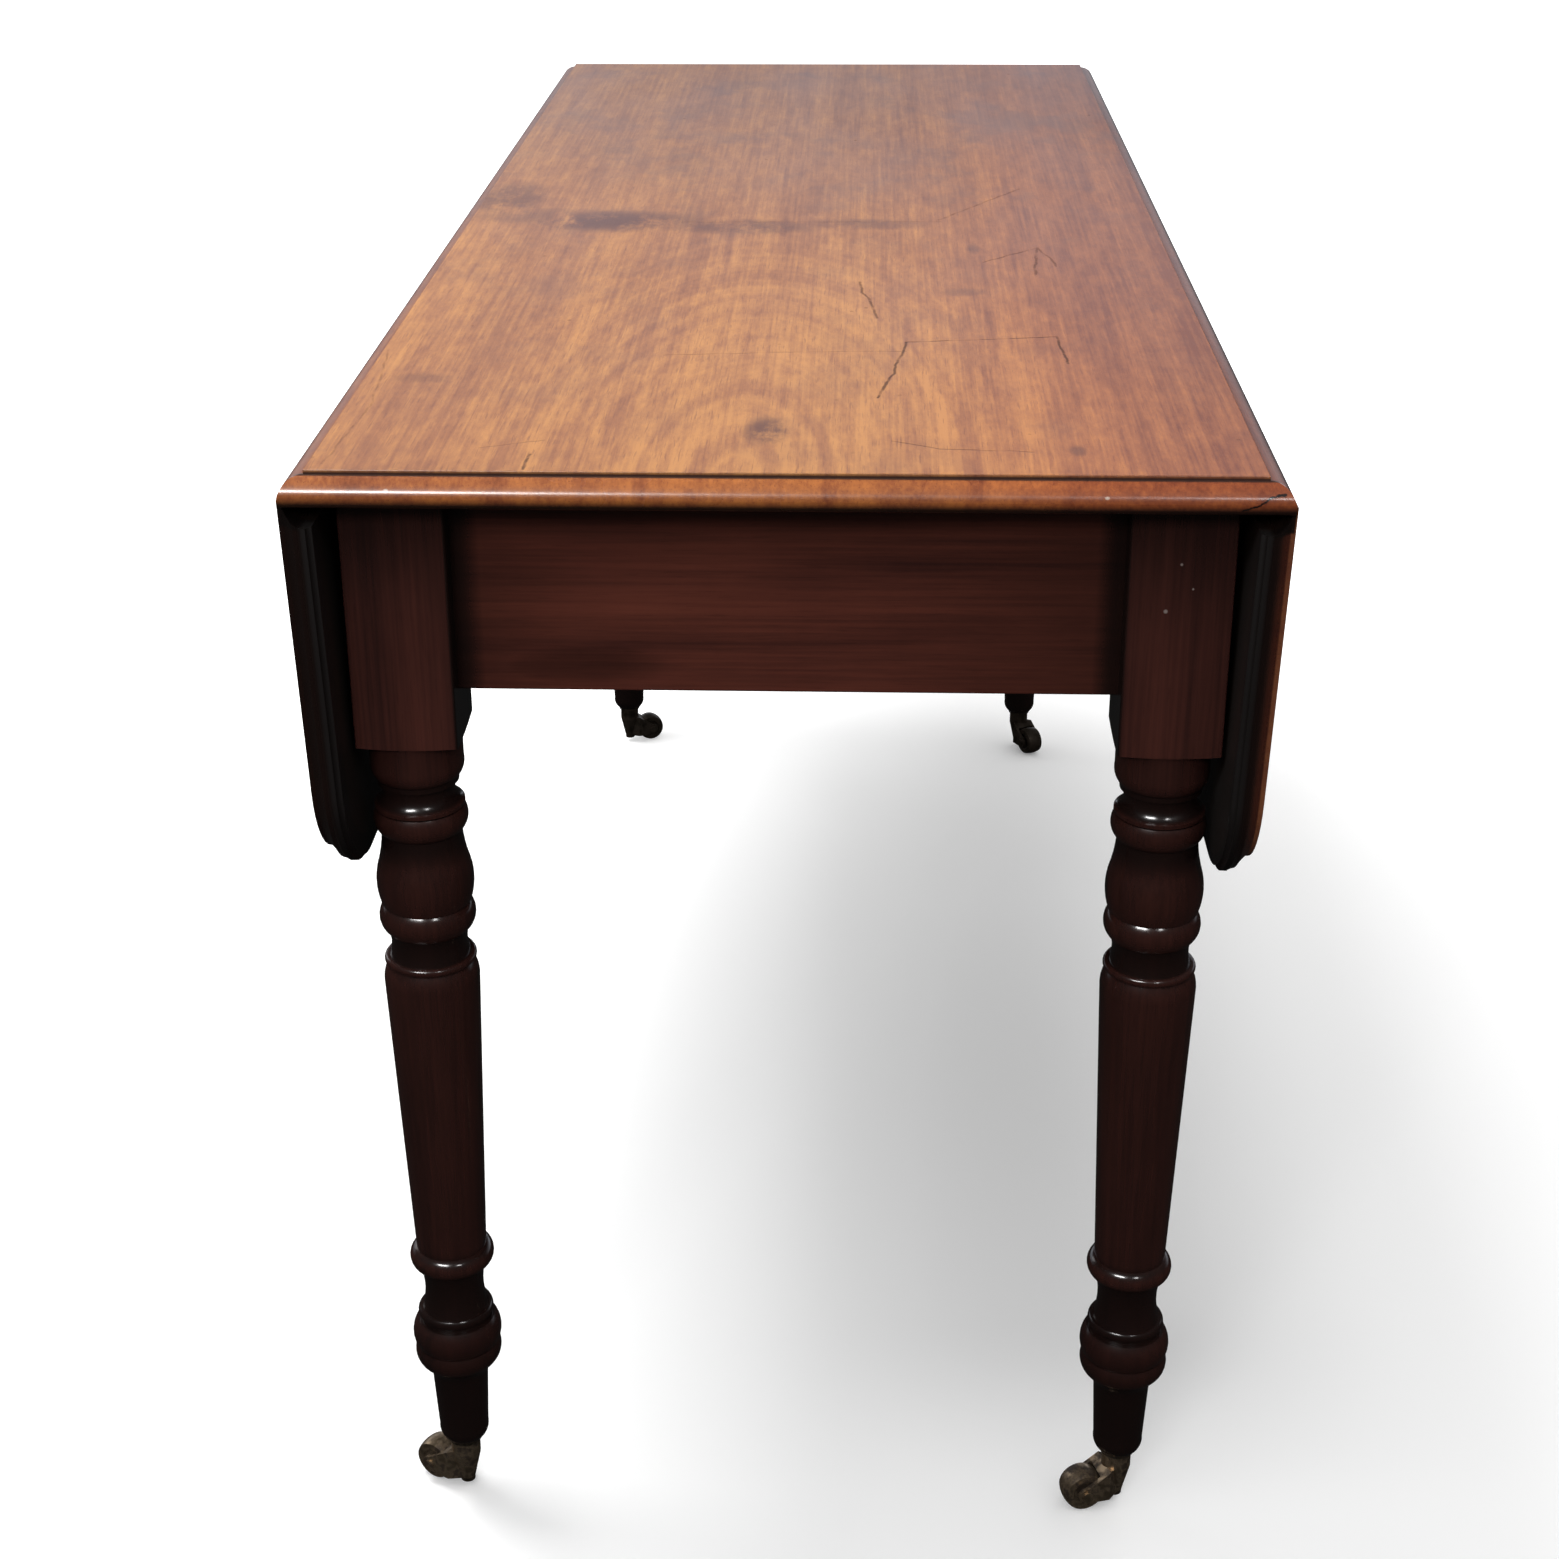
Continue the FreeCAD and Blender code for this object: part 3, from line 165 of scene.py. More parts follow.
class Finish:
    """A node tree being painted; add() is the one way that nodes enter it."""

    def __init__(self, tree):
        self.tree = tree
        tree.nodes.clear()

    def add(self, kind, settings=None, inputs=None, output=0):
        node = self.tree.nodes.new(kind)
        for key, setting in (settings or {}).items():
            if key == "stops":
                self.set_stops(node.color_ramp.elements, setting)
            else:
                setattr(node, key, setting)
        for key, entry in (inputs or {}).items():
            if isinstance(entry, Value):
                self.tree.links.new(entry.socket, node.inputs[key])
            else:
                node.inputs[key].default_value = entry
        return Value(self, node.outputs[output]) if node.outputs else None

    @staticmethod
    def set_stops(elements, stops):
        while len(elements) < len(stops):
            elements.new(1.0)
        for element, (position, colour) in zip(elements, stops):
            element.position = position
            element.color = (*colour, 1.0)

    def place(self):
        """Object coordinates as three values across the piece's own frame."""
        vector = self.add("ShaderNodeTexCoord", output="Object")
        x = self.add("ShaderNodeSeparateXYZ", inputs={0: vector})
        return x, x.other("Y"), x.other("Z")

    def vector(self, x, y, z):
        return self.add("ShaderNodeCombineXYZ", inputs={0: x, 1: y, 2: z})

    def noise(self, spot, scale, detail=4.0, rough=0.55, shift=0.0):
        """Cloudy pattern from 0 to 1 with its own scale along each axis."""
        seat = self.add("ShaderNodeMapping", inputs={
            "Vector": spot, "Location": (shift, shift, shift), "Scale": scale})
        return self.add("ShaderNodeTexNoise", inputs={
            "Vector": seat, "Scale": 1.0, "Detail": detail, "Roughness": rough})

    def specks(self, spot, scale, shift=0.0):
        """Distance to the nearest of scattered points, in their own spacing."""
        seat = self.add("ShaderNodeMapping", inputs={
            "Vector": spot, "Location": (shift, shift, shift), "Scale": scale})
        return self.add("ShaderNodeTexVoronoi", inputs={"Vector": seat, "Scale": 1.0})

    def colours(self, value, stops):
        return self.add("ShaderNodeValToRGB", {"stops": stops}, {"Fac": value})

    def mix(self, share, under, over, blend="MIX"):
        """One colour laid over another by a share from 0 to 1."""
        return self.add("ShaderNodeMix", {"data_type": "RGBA", "blend_type": blend},
                        {0: share, 6: colour4(under), 7: colour4(over)}, output=2)

    def bump(self, height, strength, depth):
        return self.add("ShaderNodeBump", inputs={
            "Strength": strength, "Distance": depth, "Height": height})

    def surface(self, **sockets):
        """Close a material with one Principled shader; names use _ for spaces."""
        inputs = {name.replace("_", " "): entry for name, entry in sockets.items()}
        if not isinstance(inputs["Base Color"], Value):
            inputs["Base Color"] = colour4(inputs["Base Color"])
        shader = self.add("ShaderNodeBsdfPrincipled", inputs=inputs)
        self.add("ShaderNodeOutputMaterial", inputs={"Surface": shader})


def colour4(colour):
    return colour if isinstance(colour, Value) else (*colour, 1.0)


def new_finish(name):
    material = bpy.data.materials.new(name)
    material.use_nodes = True
    return material, Finish(material.node_tree)


def stroke(x, y, points, width):
    """Mask of a scratch along straight runs between points, 1 on the line."""
    nearest = None
    for (x0, y0), (x1, y1) in zip(points, points[1:]):
        run_x = x1 - x0
        run_y = y1 - y0
        square = run_x ** 2 + run_y ** 2
        along = ((x - x0) * (run_x / square) + (y - y0) * (run_y / square)).most(0.0).least(1.0)
        gap = (x - x0 - along * run_x) ** 2 + (y - y0 - along * run_y) ** 2
        nearest = gap if nearest is None else nearest.least(gap)
    return (nearest ** 0.5).ramp(width, width * 0.25)


def patch(x, y, middle, reach):
    """Mask of a soft oval, 1 at its middle and 0 at its reach."""
    square = ((x - middle[0]) / reach[0]) ** 2 + ((y - middle[1]) / reach[1]) ** 2
    return square.ramp(1.0, 0.0)


def wood_tone(finish, spot, across, along, heart, shares):
    """How light the wood is, about 0.5: rings out to a reach, streaks and fine grain by shares."""
    heart_across, heart_along, slope, reach = heart
    ring_share, streak_share, fine_share = shares
    drift = finish.noise(spot, (5.0, 1.6, 5.0), detail=3.0) - 0.5
    ring = ((across - heart_across) ** 2 + ((along - heart_along) * slope) ** 2) ** 0.5
    ring = ring + drift * (24 * MM)
    rings = finish.noise(finish.vector(ring, along, 0.0), (95.0, 0.7, 1.0), detail=3.0, rough=0.6) - 0.5
    rings = rings * ring.ramp(reach, reach / 2)
    streak = finish.noise(spot, (42.0, 1.5, 42.0), detail=6.0, rough=0.6, shift=3.0)
    fine = finish.noise(spot, (420.0, 8.0, 420.0), detail=3.0, shift=7.0)
    return rings * ring_share + (streak - 0.5) * streak_share + (fine - 0.5) * fine_share + 0.5


def pores(finish, spot):
    """Short dark vessel lines along the grain."""
    return finish.noise(spot, (1000.0, 42.0, 1000.0), detail=1.0, shift=11.0).ramp(0.6, 0.72)


# Marks on the top in millimetres from its middle: points of a line or a middle and reach, then weight.
TOP_SCRATCHES = (
    (((49, -522), (58, -474), (67, -400)), 1.3, 0.75),
    (((67, -400), (160, -386), (163, -448)), 1.2, 0.7),
    (((-80, -433), (2, -424), (66, -421)), 0.9, 0.4),
    (((123, -188), (162, -144), (156, -225)), 1.5, 0.45),
    (((162, -144), (169, -175), (172, -200)), 1.3, 0.4),
    (((95, -55), (160, 58)), 1.6, 0.35),
    (((-96, -65), (96, -61)), 1.6, 0.22),
    (((38, -247), (39, -274), (44, -295), (49, -342)), 1.4, 0.6),
    (((57, -604), (82, -618), (132, -622)), 1.2, 0.5),
    (((-244, -652), (-238, -544), (-249, -425)), 1.0, 0.3),
    (((-137, -658), (-136, -632)), 1.2, 0.7),
    (((-165, -622), (-131, -607)), 0.9, 0.35),
)
TOP_STAINS = (
    ((-232, 15), (36, 75), 0.7),
    ((-205, -45), (60, 35), 0.5),
    ((-145, -62), (80, 45), 0.9),
    ((-50, -80), (70, 30), 0.7),
    ((40, -70), (60, 22), 0.5),
    ((-12, -587), (16, 34), 0.85),
    ((156, -620), (6, 12), 0.6),
    ((117, -148), (6, 20), 0.5),
    ((106, -273), (20, 14), 0.4),
    ((-218, -486), (22, 14), 0.35),
)

# Wear on faces towards the near end, in millimetres across and up; the chip's from its leaf's hinge.
END_CRACK = ((238, 704), (247, 707), (253, 711), (260, 712))
END_NICKS = (((-208, 711), (1.8, 1.1)), ((168, 710), (1.6, 1)))
APRON_STAIN = ((-118, 594), (62, 15))
LEAF_CHIP = ((7, 10), (1.6, 5))
BLOCK_NICKS = (((213, 662), (1, 1)), ((206, 635), (1.5, 1.5)), ((220, 648), (0.8, 0.8)))


class TableLooks(bpy.types.PropertyGroup):
    """Colours and gloss of the table's finishes."""

    top_light: bpy.props.FloatVectorProperty(
        name="Top light", description="Lightest, golden tone of the faded top", subtype="COLOR",
        default=(0.5, 0.222, 0.072), min=0.0, max=1.0)
    top_middle: bpy.props.FloatVectorProperty(
        name="Top middle", description="Orange brown of most of the top", subtype="COLOR",
        default=(0.32, 0.127, 0.054), min=0.0, max=1.0)
    top_dark: bpy.props.FloatVectorProperty(
        name="Top dark", description="Red brown of the dark streaks of the top", subtype="COLOR",
        default=(0.18, 0.062, 0.037), min=0.0, max=1.0)
    apron_light: bpy.props.FloatVectorProperty(
        name="Apron light", description="Red that glows through the end rails' polish", subtype="COLOR",
        default=(0.178, 0.047, 0.03), min=0.0, max=1.0)
    apron_dark: bpy.props.FloatVectorProperty(
        name="Apron dark", description="Dark polish of the end rails", subtype="COLOR",
        default=(0.05, 0.016, 0.013), min=0.0, max=1.0)
    leg_light: bpy.props.FloatVectorProperty(
        name="Leg light", description="Red that glows through the legs' polish", subtype="COLOR",
        default=(0.1, 0.03, 0.022), min=0.0, max=1.0)
    leg_dark: bpy.props.FloatVectorProperty(
        name="Leg dark", description="Nearly black polish of the legs", subtype="COLOR",
        default=(0.023, 0.0095, 0.0085), min=0.0, max=1.0)
    raw_light: bpy.props.FloatVectorProperty(
        name="Inner wood light", description="Unpolished wood inside the frame", subtype="COLOR",
        default=(0.36, 0.22, 0.11), min=0.0, max=1.0)
    raw_dark: bpy.props.FloatVectorProperty(
        name="Inner wood dark", description="Dusty dark grain of the inner wood", subtype="COLOR",
        default=(0.16, 0.085, 0.042), min=0.0, max=1.0)
    # Grime, also used as painted shade along the top's quirks and on the leaves' moulded edges.
    grime_and_shade: bpy.props.FloatVectorProperty(
        name="Grime", description="Old wax and dirt in quirks, scratches and stains", subtype="COLOR",
        default=(0.045, 0.022, 0.018), min=0.0, max=1.0)
    # This near black is painted shade for undersides, hollows, corners and the leaves' near edges; cracks
    # and pores use it too.
    shade: bpy.props.FloatVectorProperty(
        name="Shade", description="Blackened wood of undersides and leaf edges", subtype="COLOR",
        default=(0.007, 0.0045, 0.004), min=0.0, max=1.0)
    # Near casters' brass, and below it a darker copy for the far casters that is painted shade.
    brass: bpy.props.FloatVectorProperty(
        name="Brass", description="Rubbed brass of the casters at the near end", subtype="COLOR",
        default=(0.36, 0.27, 0.18), min=0.0, max=1.0)
    shaded_brass: bpy.props.FloatVectorProperty(
        name="Dull brass", description="Blackened brass of the casters at the far end", subtype="COLOR",
        default=(0.1, 0.08, 0.06), min=0.0, max=1.0)
    top_gloss: bpy.props.FloatProperty(
        name="Top roughness", description="Roughness of the worn polish on the top", subtype="FACTOR",
        default=0.34, min=0.0, max=1.0)
    show_gloss: bpy.props.FloatProperty(
        name="Dark wood roughness", description="Roughness of the dark polish", subtype="FACTOR",
        default=0.2, min=0.0, max=1.0)
    arris: bpy.props.FloatProperty(
        name="Arris", description="How far the corners of blocks and rails are eased", unit="LENGTH",
        default=1.2 * MM, min=0.0)
    edge: bpy.props.FloatProperty(
        name="Edge", description="How far the edges of the top and leaves are eased", unit="LENGTH",
        default=0.5 * MM, min=0.0)


class TableStage(bpy.types.PropertyGroup):
    """Floor, light and camera."""

    floor_side: bpy.props.FloatProperty(
        name="Floor side", description="Side of the square floor", unit="LENGTH", default=60.0)
    camera_place: bpy.props.FloatVectorProperty(
        name="Camera place", description="Where the photograph was taken from", subtype="TRANSLATION",
        default=(0.04222, -1.90509, 1.12222))
    camera_yaw: bpy.props.FloatProperty(
        name="Camera yaw", description="Turn to the right of the table's length", subtype="ANGLE",
        default=-0.0362)
    camera_pitch: bpy.props.FloatProperty(
        name="Camera pitch", description="Tilt below the horizon", subtype="ANGLE", default=0.435)
    camera_roll: bpy.props.FloatProperty(
        name="Camera roll", description="Turn about the line of sight", subtype="ANGLE", default=0.0042)
    focal_pixels: bpy.props.FloatProperty(
        name="Focal length", description="Focal length in pixels of the photograph", default=2491.73)
    sky: bpy.props.FloatProperty(
        name="Sky", description="Brightness of the light from overhead", default=0.98, min=0.0)


def paint(nodes, material):
    """Give a material to every slot of some CAD nodes."""
    for name in nodes:
        slots = frame["nodes"][name].material_slots
        if not slots:
            frame["nodes"][name].data.materials.append(material)
        for entry in slots:
            entry.material = material


def top_material(looks):
    """Faded and scratched polish of the top; its moulded ends are darker and redder, and painted light
    and shade make it lighter at the near middle and left and darker to the right, far end, underside and
    rule joints.
    """
    material, finish = new_finish("worn_top_polish")
    x, y, z = finish.place()
    spot = finish.vector(x, y, z)
    grain = wood_tone(finish, spot, x, y, (-25 * MM, -0.68, 0.28, 0.22), (0.75, 0.6, 0.6))
    cloud = finish.noise(spot, (7.0, 2.2, 7.0), detail=5.0, rough=0.6, shift=21.0)
    mottle = finish.noise(spot, (90.0, 28.0, 90.0), detail=7.0, rough=0.85, shift=71.0)
    # Painted light: a lighter oval at the middle of the near end and a lift towards the left; painted
    # shade towards the right.
    glow = patch(x, y, (0.01, -0.66), (0.22, 0.6))
    lean = x.ramp(-0.08, -0.2) * 0.07 - x.ramp(0.05, 0.22) * 0.1
    tone = grain + (cloud - 0.5) * 0.3 + (mottle - 0.5) * 0.9 + glow * 0.16 + lean
    colour = finish.colours(tone, [
        (0.2, looks.top_dark), (0.5, looks.top_middle), (0.82, looks.top_light)])
    vessels = pores(finish, spot)
    colour = finish.mix(vessels * 0.5, colour, looks.top_dark)
    # Painted shade: the right of the top turns darker and redder.
    colour = finish.mix(x.ramp(0.02, 0.2), colour, RIGHT_PAINTED_SHADE, "MULTIPLY")
    smear = finish.noise(spot, (13.0, 9.0, 13.0), detail=7.0, rough=0.7, shift=33.0).ramp(0.48, 0.68)
    colour = finish.mix(smear * (y.ramp(-0.5, 0.3) * 0.3 + 0.15), colour, SMEAR)
    # Painted shade and sheen: the top turns darker and bluer towards the far end.
    colour = finish.mix(y.ramp(-0.3, 0.65) * 0.75, colour, FAR_PAINTED_SHADE, "MULTIPLY")
    face = z.ramp(TABLE_HEIGHT - 1.5 * MM, TABLE_HEIGHT - 0.5 * MM)
    colour = finish.mix(top_stains(finish, spot, x, y) * face, colour, STAIN)
    marks = top_marks(finish, spot, x, y) * face
    colour = finish.mix(marks, colour, looks.grime_and_shade)
    moulded = abs(y).ramp(QUIRK_Y + 0.2 * MM, QUIRK_Y + 1 * MM)
    colour = finish.mix(moulded, colour, MOULDING_TINT, "MULTIPLY")
    round_edge = abs(x).ramp(HINGE_X - 0.5 * MM, HINGE_X + 1 * MM) * (1 - moulded)
    colour = finish.mix(round_edge, colour, ROUND_TINT, "MULTIPLY")
    quirk = ((abs(y) - QUIRK_Y) ** 2 + (z - QUIRK_Z) ** 2) ** 0.5
    # Painted shade: the underside of the top and its sunk rule-joint edges are blackened.
    sunk = z.ramp(TABLE_HEIGHT - 4 * MM, TABLE_HEIGHT - 8 * MM)
    joint = abs(x).ramp(*RULE_JOINT) * sunk * (1 - moulded)
    under = z.ramp(TABLE_HEIGHT - 12.5 * MM, TABLE_HEIGHT - 17 * MM).most(joint)
    # Dark line along the quirk: grime, and painted shade in the step.
    colour = finish.mix(quirk.ramp(1.7 * MM, 0.6 * MM) * 0.94, colour, looks.grime_and_shade)
    colour = finish.mix(under * 0.95, colour, looks.shade)
    near = moulded * y.ramp(0.0, -0.1)
    colour = finish.mix(end_crack(finish, spot, x / MM, z / MM) * near, colour, looks.shade)
    colour = finish.mix(nicks(x / MM, z / MM, END_NICKS) * near, colour, BARE_WOOD)
    rough = looks.top_gloss + (cloud - 0.5) * 0.16 + marks * 0.25 - moulded * 0.07
    height = grain * 0.4 - marks * 1.5 - vessels * 0.4
    finish.surface(
        Base_Color=colour, Roughness=rough, IOR=1.46, Coat_Weight=moulded * 0.6, Coat_Roughness=0.2,
        Normal=finish.bump(height, 0.12, 0.4 * MM))
    return material


def end_crack(finish, spot, x, z):
    """Dark crack at the right of the near end's moulding."""
    ragged = finish.noise(spot, (300.0, 300.0, 300.0), detail=4.0, rough=0.7, shift=81.0) - 0.5
    return stroke(x, z + ragged * 3, END_CRACK, 0.8)


def nicks(x, z, table):
    """Mask of small ovals in a table of their middles and reaches."""
    mask = patch(x, z, *table[0])
    for middle, reach in table[1:]:
        mask = mask.most(patch(x, z, middle, reach))
    return mask


def top_stains(finish, spot, x, y):
    """Ragged dark stains on the top, 0 to 1."""
    ragged = finish.noise(spot, (40.0, 18.0, 40.0), detail=7.0, rough=0.75, shift=45.0).ramp(0.32, 0.55)
    stains = None
    for middle, reach, weight in TOP_STAINS:
        stain = patch(x / MM, y / MM, middle, reach) * weight
        stains = stain if stains is None else stains.most(stain)
    return stains * ragged


def top_marks(finish, spot, x, y):
    """Scratches and dents on the top, 0 to 1."""
    sway_x = finish.noise(spot, (60.0, 60.0, 60.0), detail=2.0, shift=5.0) - 0.5
    sway_y = finish.noise(spot, (60.0, 60.0, 60.0), detail=2.0, shift=15.0) - 0.5
    broken = finish.noise(spot, (90.0, 90.0, 90.0), detail=2.0, shift=27.0).ramp(0.34, 0.56)
    marks = None
    along_x = x / MM + sway_x * 4
    along_y = y / MM + sway_y * 4
    for points, width, weight in TOP_SCRATCHES:
        mark = stroke(along_x, along_y, points, width) * weight
        marks = mark if marks is None else marks.most(mark)
    marks = marks * (broken * 0.7 + 0.3)
    dents = finish.specks(spot, (55.0, 38.0, 55.0), shift=2.0).ramp(0.09, 0.05)
    thick = finish.noise(spot, (14.0, 10.0, 14.0), shift=51.0).ramp(0.5, 0.7)
    return marks.most(dents * thick * 0.5)


def show_material(looks, name, grain, light, dark, shade):
    """Dark polished wood; grain names its axis, shade(x, y, z) how much painted shade each spot gets."""
    material, finish = new_finish(name)
    x, y, z = finish.place()
    across, along, through = {"X": (y, x, z), "Z": (x, z, y)}[grain]
    spot = finish.vector(across, along, through)
    tone = wood_tone(finish, spot, across + through, along, (0.35, -3.0, 0.07, 9.0), (0.3, 0.8, 0.5))
    cloud = finish.noise(spot, (13.0, 5.0, 13.0), detail=5.0, rough=0.6, shift=9.0)
    colour = finish.colours(tone + (cloud - 0.5) * 0.7, [(0.2, dark), (0.8, light)])
    colour = finish.mix(pores(finish, spot) * 0.15, colour, looks.shade)
    colour = finish.mix(shade(x, y, z), colour, looks.shade)
    pale = nicks(x / MM, z / MM, BLOCK_NICKS) * y.ramp(0.0, -0.1)
    colour = finish.mix(pale, colour, PALE_NICK)
    rough = looks.show_gloss + (cloud - 0.5) * 0.14
    ripple = finish.noise(spot, (60.0, 25.0, 60.0), detail=1.0, shift=17.0)
    finish.surface(
        Base_Color=colour, Roughness=rough, IOR=1.48, Coat_Weight=0.3, Coat_Roughness=0.08,
        Normal=finish.bump(ripple, 0.06, 0.5 * MM))
    return material


def leg_shade(x, y, z):
    """Painted shade: turnings darker than the blocks, darker still in their hollows and towards the foot;
    blocks darker on their inner faces and at the head.
    """
    radius = ((abs(x) - LEG_X) ** 2 + (abs(y) - LEG_Y) ** 2) ** 0.5
    shaft = z.ramp(SHAFT_FOOT, SHAFT_FOOT + 10 * MM) * z.ramp(SHAFT_HEAD, SHAFT_HEAD - 10 * MM)
    hollow = radius.ramp(*TURNED_RADII) * (1 - shaft)
    turned = z.ramp(BLOCK_FOOT + 2 * MM, BLOCK_FOOT - 2 * MM) * (hollow * 0.38 + 0.52)
    foot = z.ramp(0.3, 0.09) * (hollow * 0.16 + 0.78)
    inner = abs(x).ramp(BLOCK_INNER + 3 * MM, BLOCK_INNER) * 0.97
    head = z.ramp(TABLE_HEIGHT - 110 * MM, TABLE_HEIGHT - 25 * MM) * 0.55
    return turned.most(foot).most(inner).most(head)


def apron_shade(x, y, z):
    """Painted shade on the rails: darker towards their ends, at the head and into their corners with the
    legs; one stain darkens them too.
    """
    # Painted shade into the corners, towards the ends and under the top; the stain between is a real one.
    corner = abs(x).ramp(BLOCK_INNER - 26 * MM, BLOCK_INNER - 4 * MM) * 0.92
    ends = x.ramp(30 * MM, 170 * MM).most(x.ramp(-90 * MM, -190 * MM)) * 0.45
    stain = patch(x / MM, z / MM, *APRON_STAIN) * 0.5
    head = z.ramp(TABLE_HEIGHT - 75 * MM, TABLE_HEIGHT - 25 * MM) * 0.5
    return corner.most(ends).most(stain).most(head)


def raised(side, x, z):
    """Reach from the hinge line and level above it, as if the leaf were up."""
    joint = JOINTS[f"{side}_leaf_lift"]
    swing = math.radians(joint["range_deg"][1])
    out = (x - joint["pos_m"][0]) * SIDES[side]
    up = z - joint["pos_m"][2]
    return out * math.cos(swing) - up * math.sin(swing), out * math.sin(swing) + up * math.cos(swing)


def leaf_material(looks, side):
    """Leaf polish, laid out on the leaf as if it were raised; its edges, inside and rule joint are
    darkened, mostly as painted shade.
    """
    material, finish = new_finish(f"{side}_leaf_polish")
    x, y, z = finish.place()
    reach, level = raised(side, x, z)
    spot = finish.vector(reach, y, level)
    grain = wood_tone(finish, spot, reach, y, (110 * MM, -0.9, 0.12, 9.0), (0.5, 0.6, 0.3))
    cloud = finish.noise(spot, (7.0, 4.0, 7.0), detail=5.0, rough=0.6, shift=61.0)
    colour = finish.colours(grain + (cloud - 0.5) * 0.5, [
        (0.24, looks.top_dark), (0.55, looks.top_middle), (0.9, looks.top_light)])
    colour = finish.mix(0.35, colour, RED_POLISH)
    vessels = pores(finish, spot)
    colour = finish.mix(vessels * 0.35, colour, looks.grime_and_shade)
    past_reach = (reach - (LEAF_REACH - LEAF_CORNER)).most(0.0)
    past_end = (abs(y) - (HALF_LENGTH - LEAF_CORNER)).most(0.0)
    rim = (past_reach ** 2 + past_end ** 2) ** 0.5
    moulded = rim.ramp(LEAF_CORNER - 9.5 * MM, LEAF_CORNER - 8 * MM)
    # Painted shade: each leaf's near end, round its corner, is blackened and reddened, less where light
    # catches the right leaf's outer corner (painted light, not wear).
    shaded = LEAF_CORNER - EDGE_DEPTH[side]
    near = rim.ramp(shaded, shaded + 1.5 * MM) * y.ramp(120 * MM - HALF_LENGTH, 60 * MM - HALF_LENGTH)
    # Painted shade in the rule-joint cove; the inside faces are blackened for their plain unpolished wood
    # and as painted shade.
    joint = reach.ramp(16 * MM, 14 * MM) * level.ramp(15.6 * MM, 14.6 * MM)
    inner = level.ramp(5 * MM, 1 * MM)
    # Painted shade with grime: the leaves' moulded edges are darkened by half.
    colour = finish.mix(moulded * 0.5, colour, looks.grime_and_shade)
    worn = level.ramp(6 * MM, 11 * MM) * EDGE_GLOW[side]
    colour = finish.mix(near, colour, LEAF_END_PAINTED_SHADE, "MULTIPLY")
    colour = finish.mix(near * (0.97 - worn), colour, looks.shade)
    colour = finish.mix(inner.most(joint) * 0.97, colour, looks.shade)
    chip = patch(reach / MM, level / MM, *LEAF_CHIP)
    chip = chip * y.ramp(4 * MM - HALF_LENGTH, 2 * MM - HALF_LENGTH)
    colour = finish.mix(chip * 0.5, colour, PALE_CHIP)
    rough = 0.26 + (cloud - 0.5) * 0.14 + inner * 0.25
    finish.surface(
        Base_Color=colour, Roughness=rough, IOR=1.46, Coat_Weight=(1 - inner) * 0.25, Coat_Roughness=0.1,
        Normal=finish.bump(grain - vessels, 0.08, 0.4 * MM))
    return material


def raw_material(looks, name, grain):
    """Unpolished, dusty wood inside the frame."""
    material, finish = new_finish(name)
    x, y, z = finish.place()
    across, along, through = {"X": (y, x, z), "Y": (x, y, z)}[grain]
    spot = finish.vector(across, along, through)
    tone = wood_tone(finish, spot, across, along, (0.3, -2.0, 0.06, 9.0), (0.4, 0.8, 0.3))
    dust = finish.noise(spot, (11.0, 6.0, 11.0), detail=6.0, shift=13.0)
    colour = finish.colours(tone + (dust - 0.5) * 0.5, [(0.2, looks.raw_dark), (0.8, looks.raw_light)])
    vessels = pores(finish, spot)
    colour = finish.mix(vessels * 0.5, colour, DUSTY_PORE)
    finish.surface(
        Base_Color=colour, Roughness=0.62 + (dust - 0.5) * 0.3,
        Normal=finish.bump(tone - vessels, 0.25, 0.5 * MM))
    return material


def iron_material():
    """Dark iron with a bloom of rust."""
    material, finish = new_finish("dark_iron")
    spot = finish.vector(*finish.place())
    rust = finish.noise(spot, (90.0, 90.0, 90.0), detail=6.0, rough=0.65)
    patchy = rust.ramp(0.5, 0.68)
    colour = finish.mix(patchy, IRON, RUST)
    finish.surface(
        Base_Color=colour, Metallic=0.85 - patchy * 0.7, Roughness=0.42 + patchy * 0.35,
        Normal=finish.bump(rust, 0.3, 0.3 * MM))
    return material


def brass_material(name, bright):
    """Tarnished brass, bright where the tarnish is rubbed away."""
    material, finish = new_finish(name)
    spot = finish.vector(*finish.place())
    cloud = finish.noise(spot, (130.0, 130.0, 130.0), detail=6.0, rough=0.62)
    tarnish = cloud.ramp(0.38, 0.62)
    colour = finish.mix(tarnish, bright, TARNISH)
    finish.surface(
        Base_Color=colour, Metallic=0.95 - tarnish * 0.5, Roughness=0.3 + tarnish * 0.22,
        Normal=finish.bump(cloud, 0.2, 0.25 * MM))
    return material


def box_edge(node):
    """Test for edges that lie along an edge of the node's box."""
    low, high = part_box(node)

    def faces(vertex):
        return {(axis, end) for axis in range(3) for end, corner in enumerate((low, high))
                if abs(vertex.co[axis] - corner[axis]) < ON_FACE}

    return lambda edge: len(faces(edge.verts[0]) & faces(edge.verts[1])) > 1


def rim_edge(level):
    """Test for the sharp edges round a board's show face; level gives a point's depth below it."""
    return lambda edge: (
        edge.is_convex and edge.calc_face_angle(0.0) > CREASE_ANGLE
        and all(abs(level(vertex.co)) < ON_FACE for vertex in edge.verts))


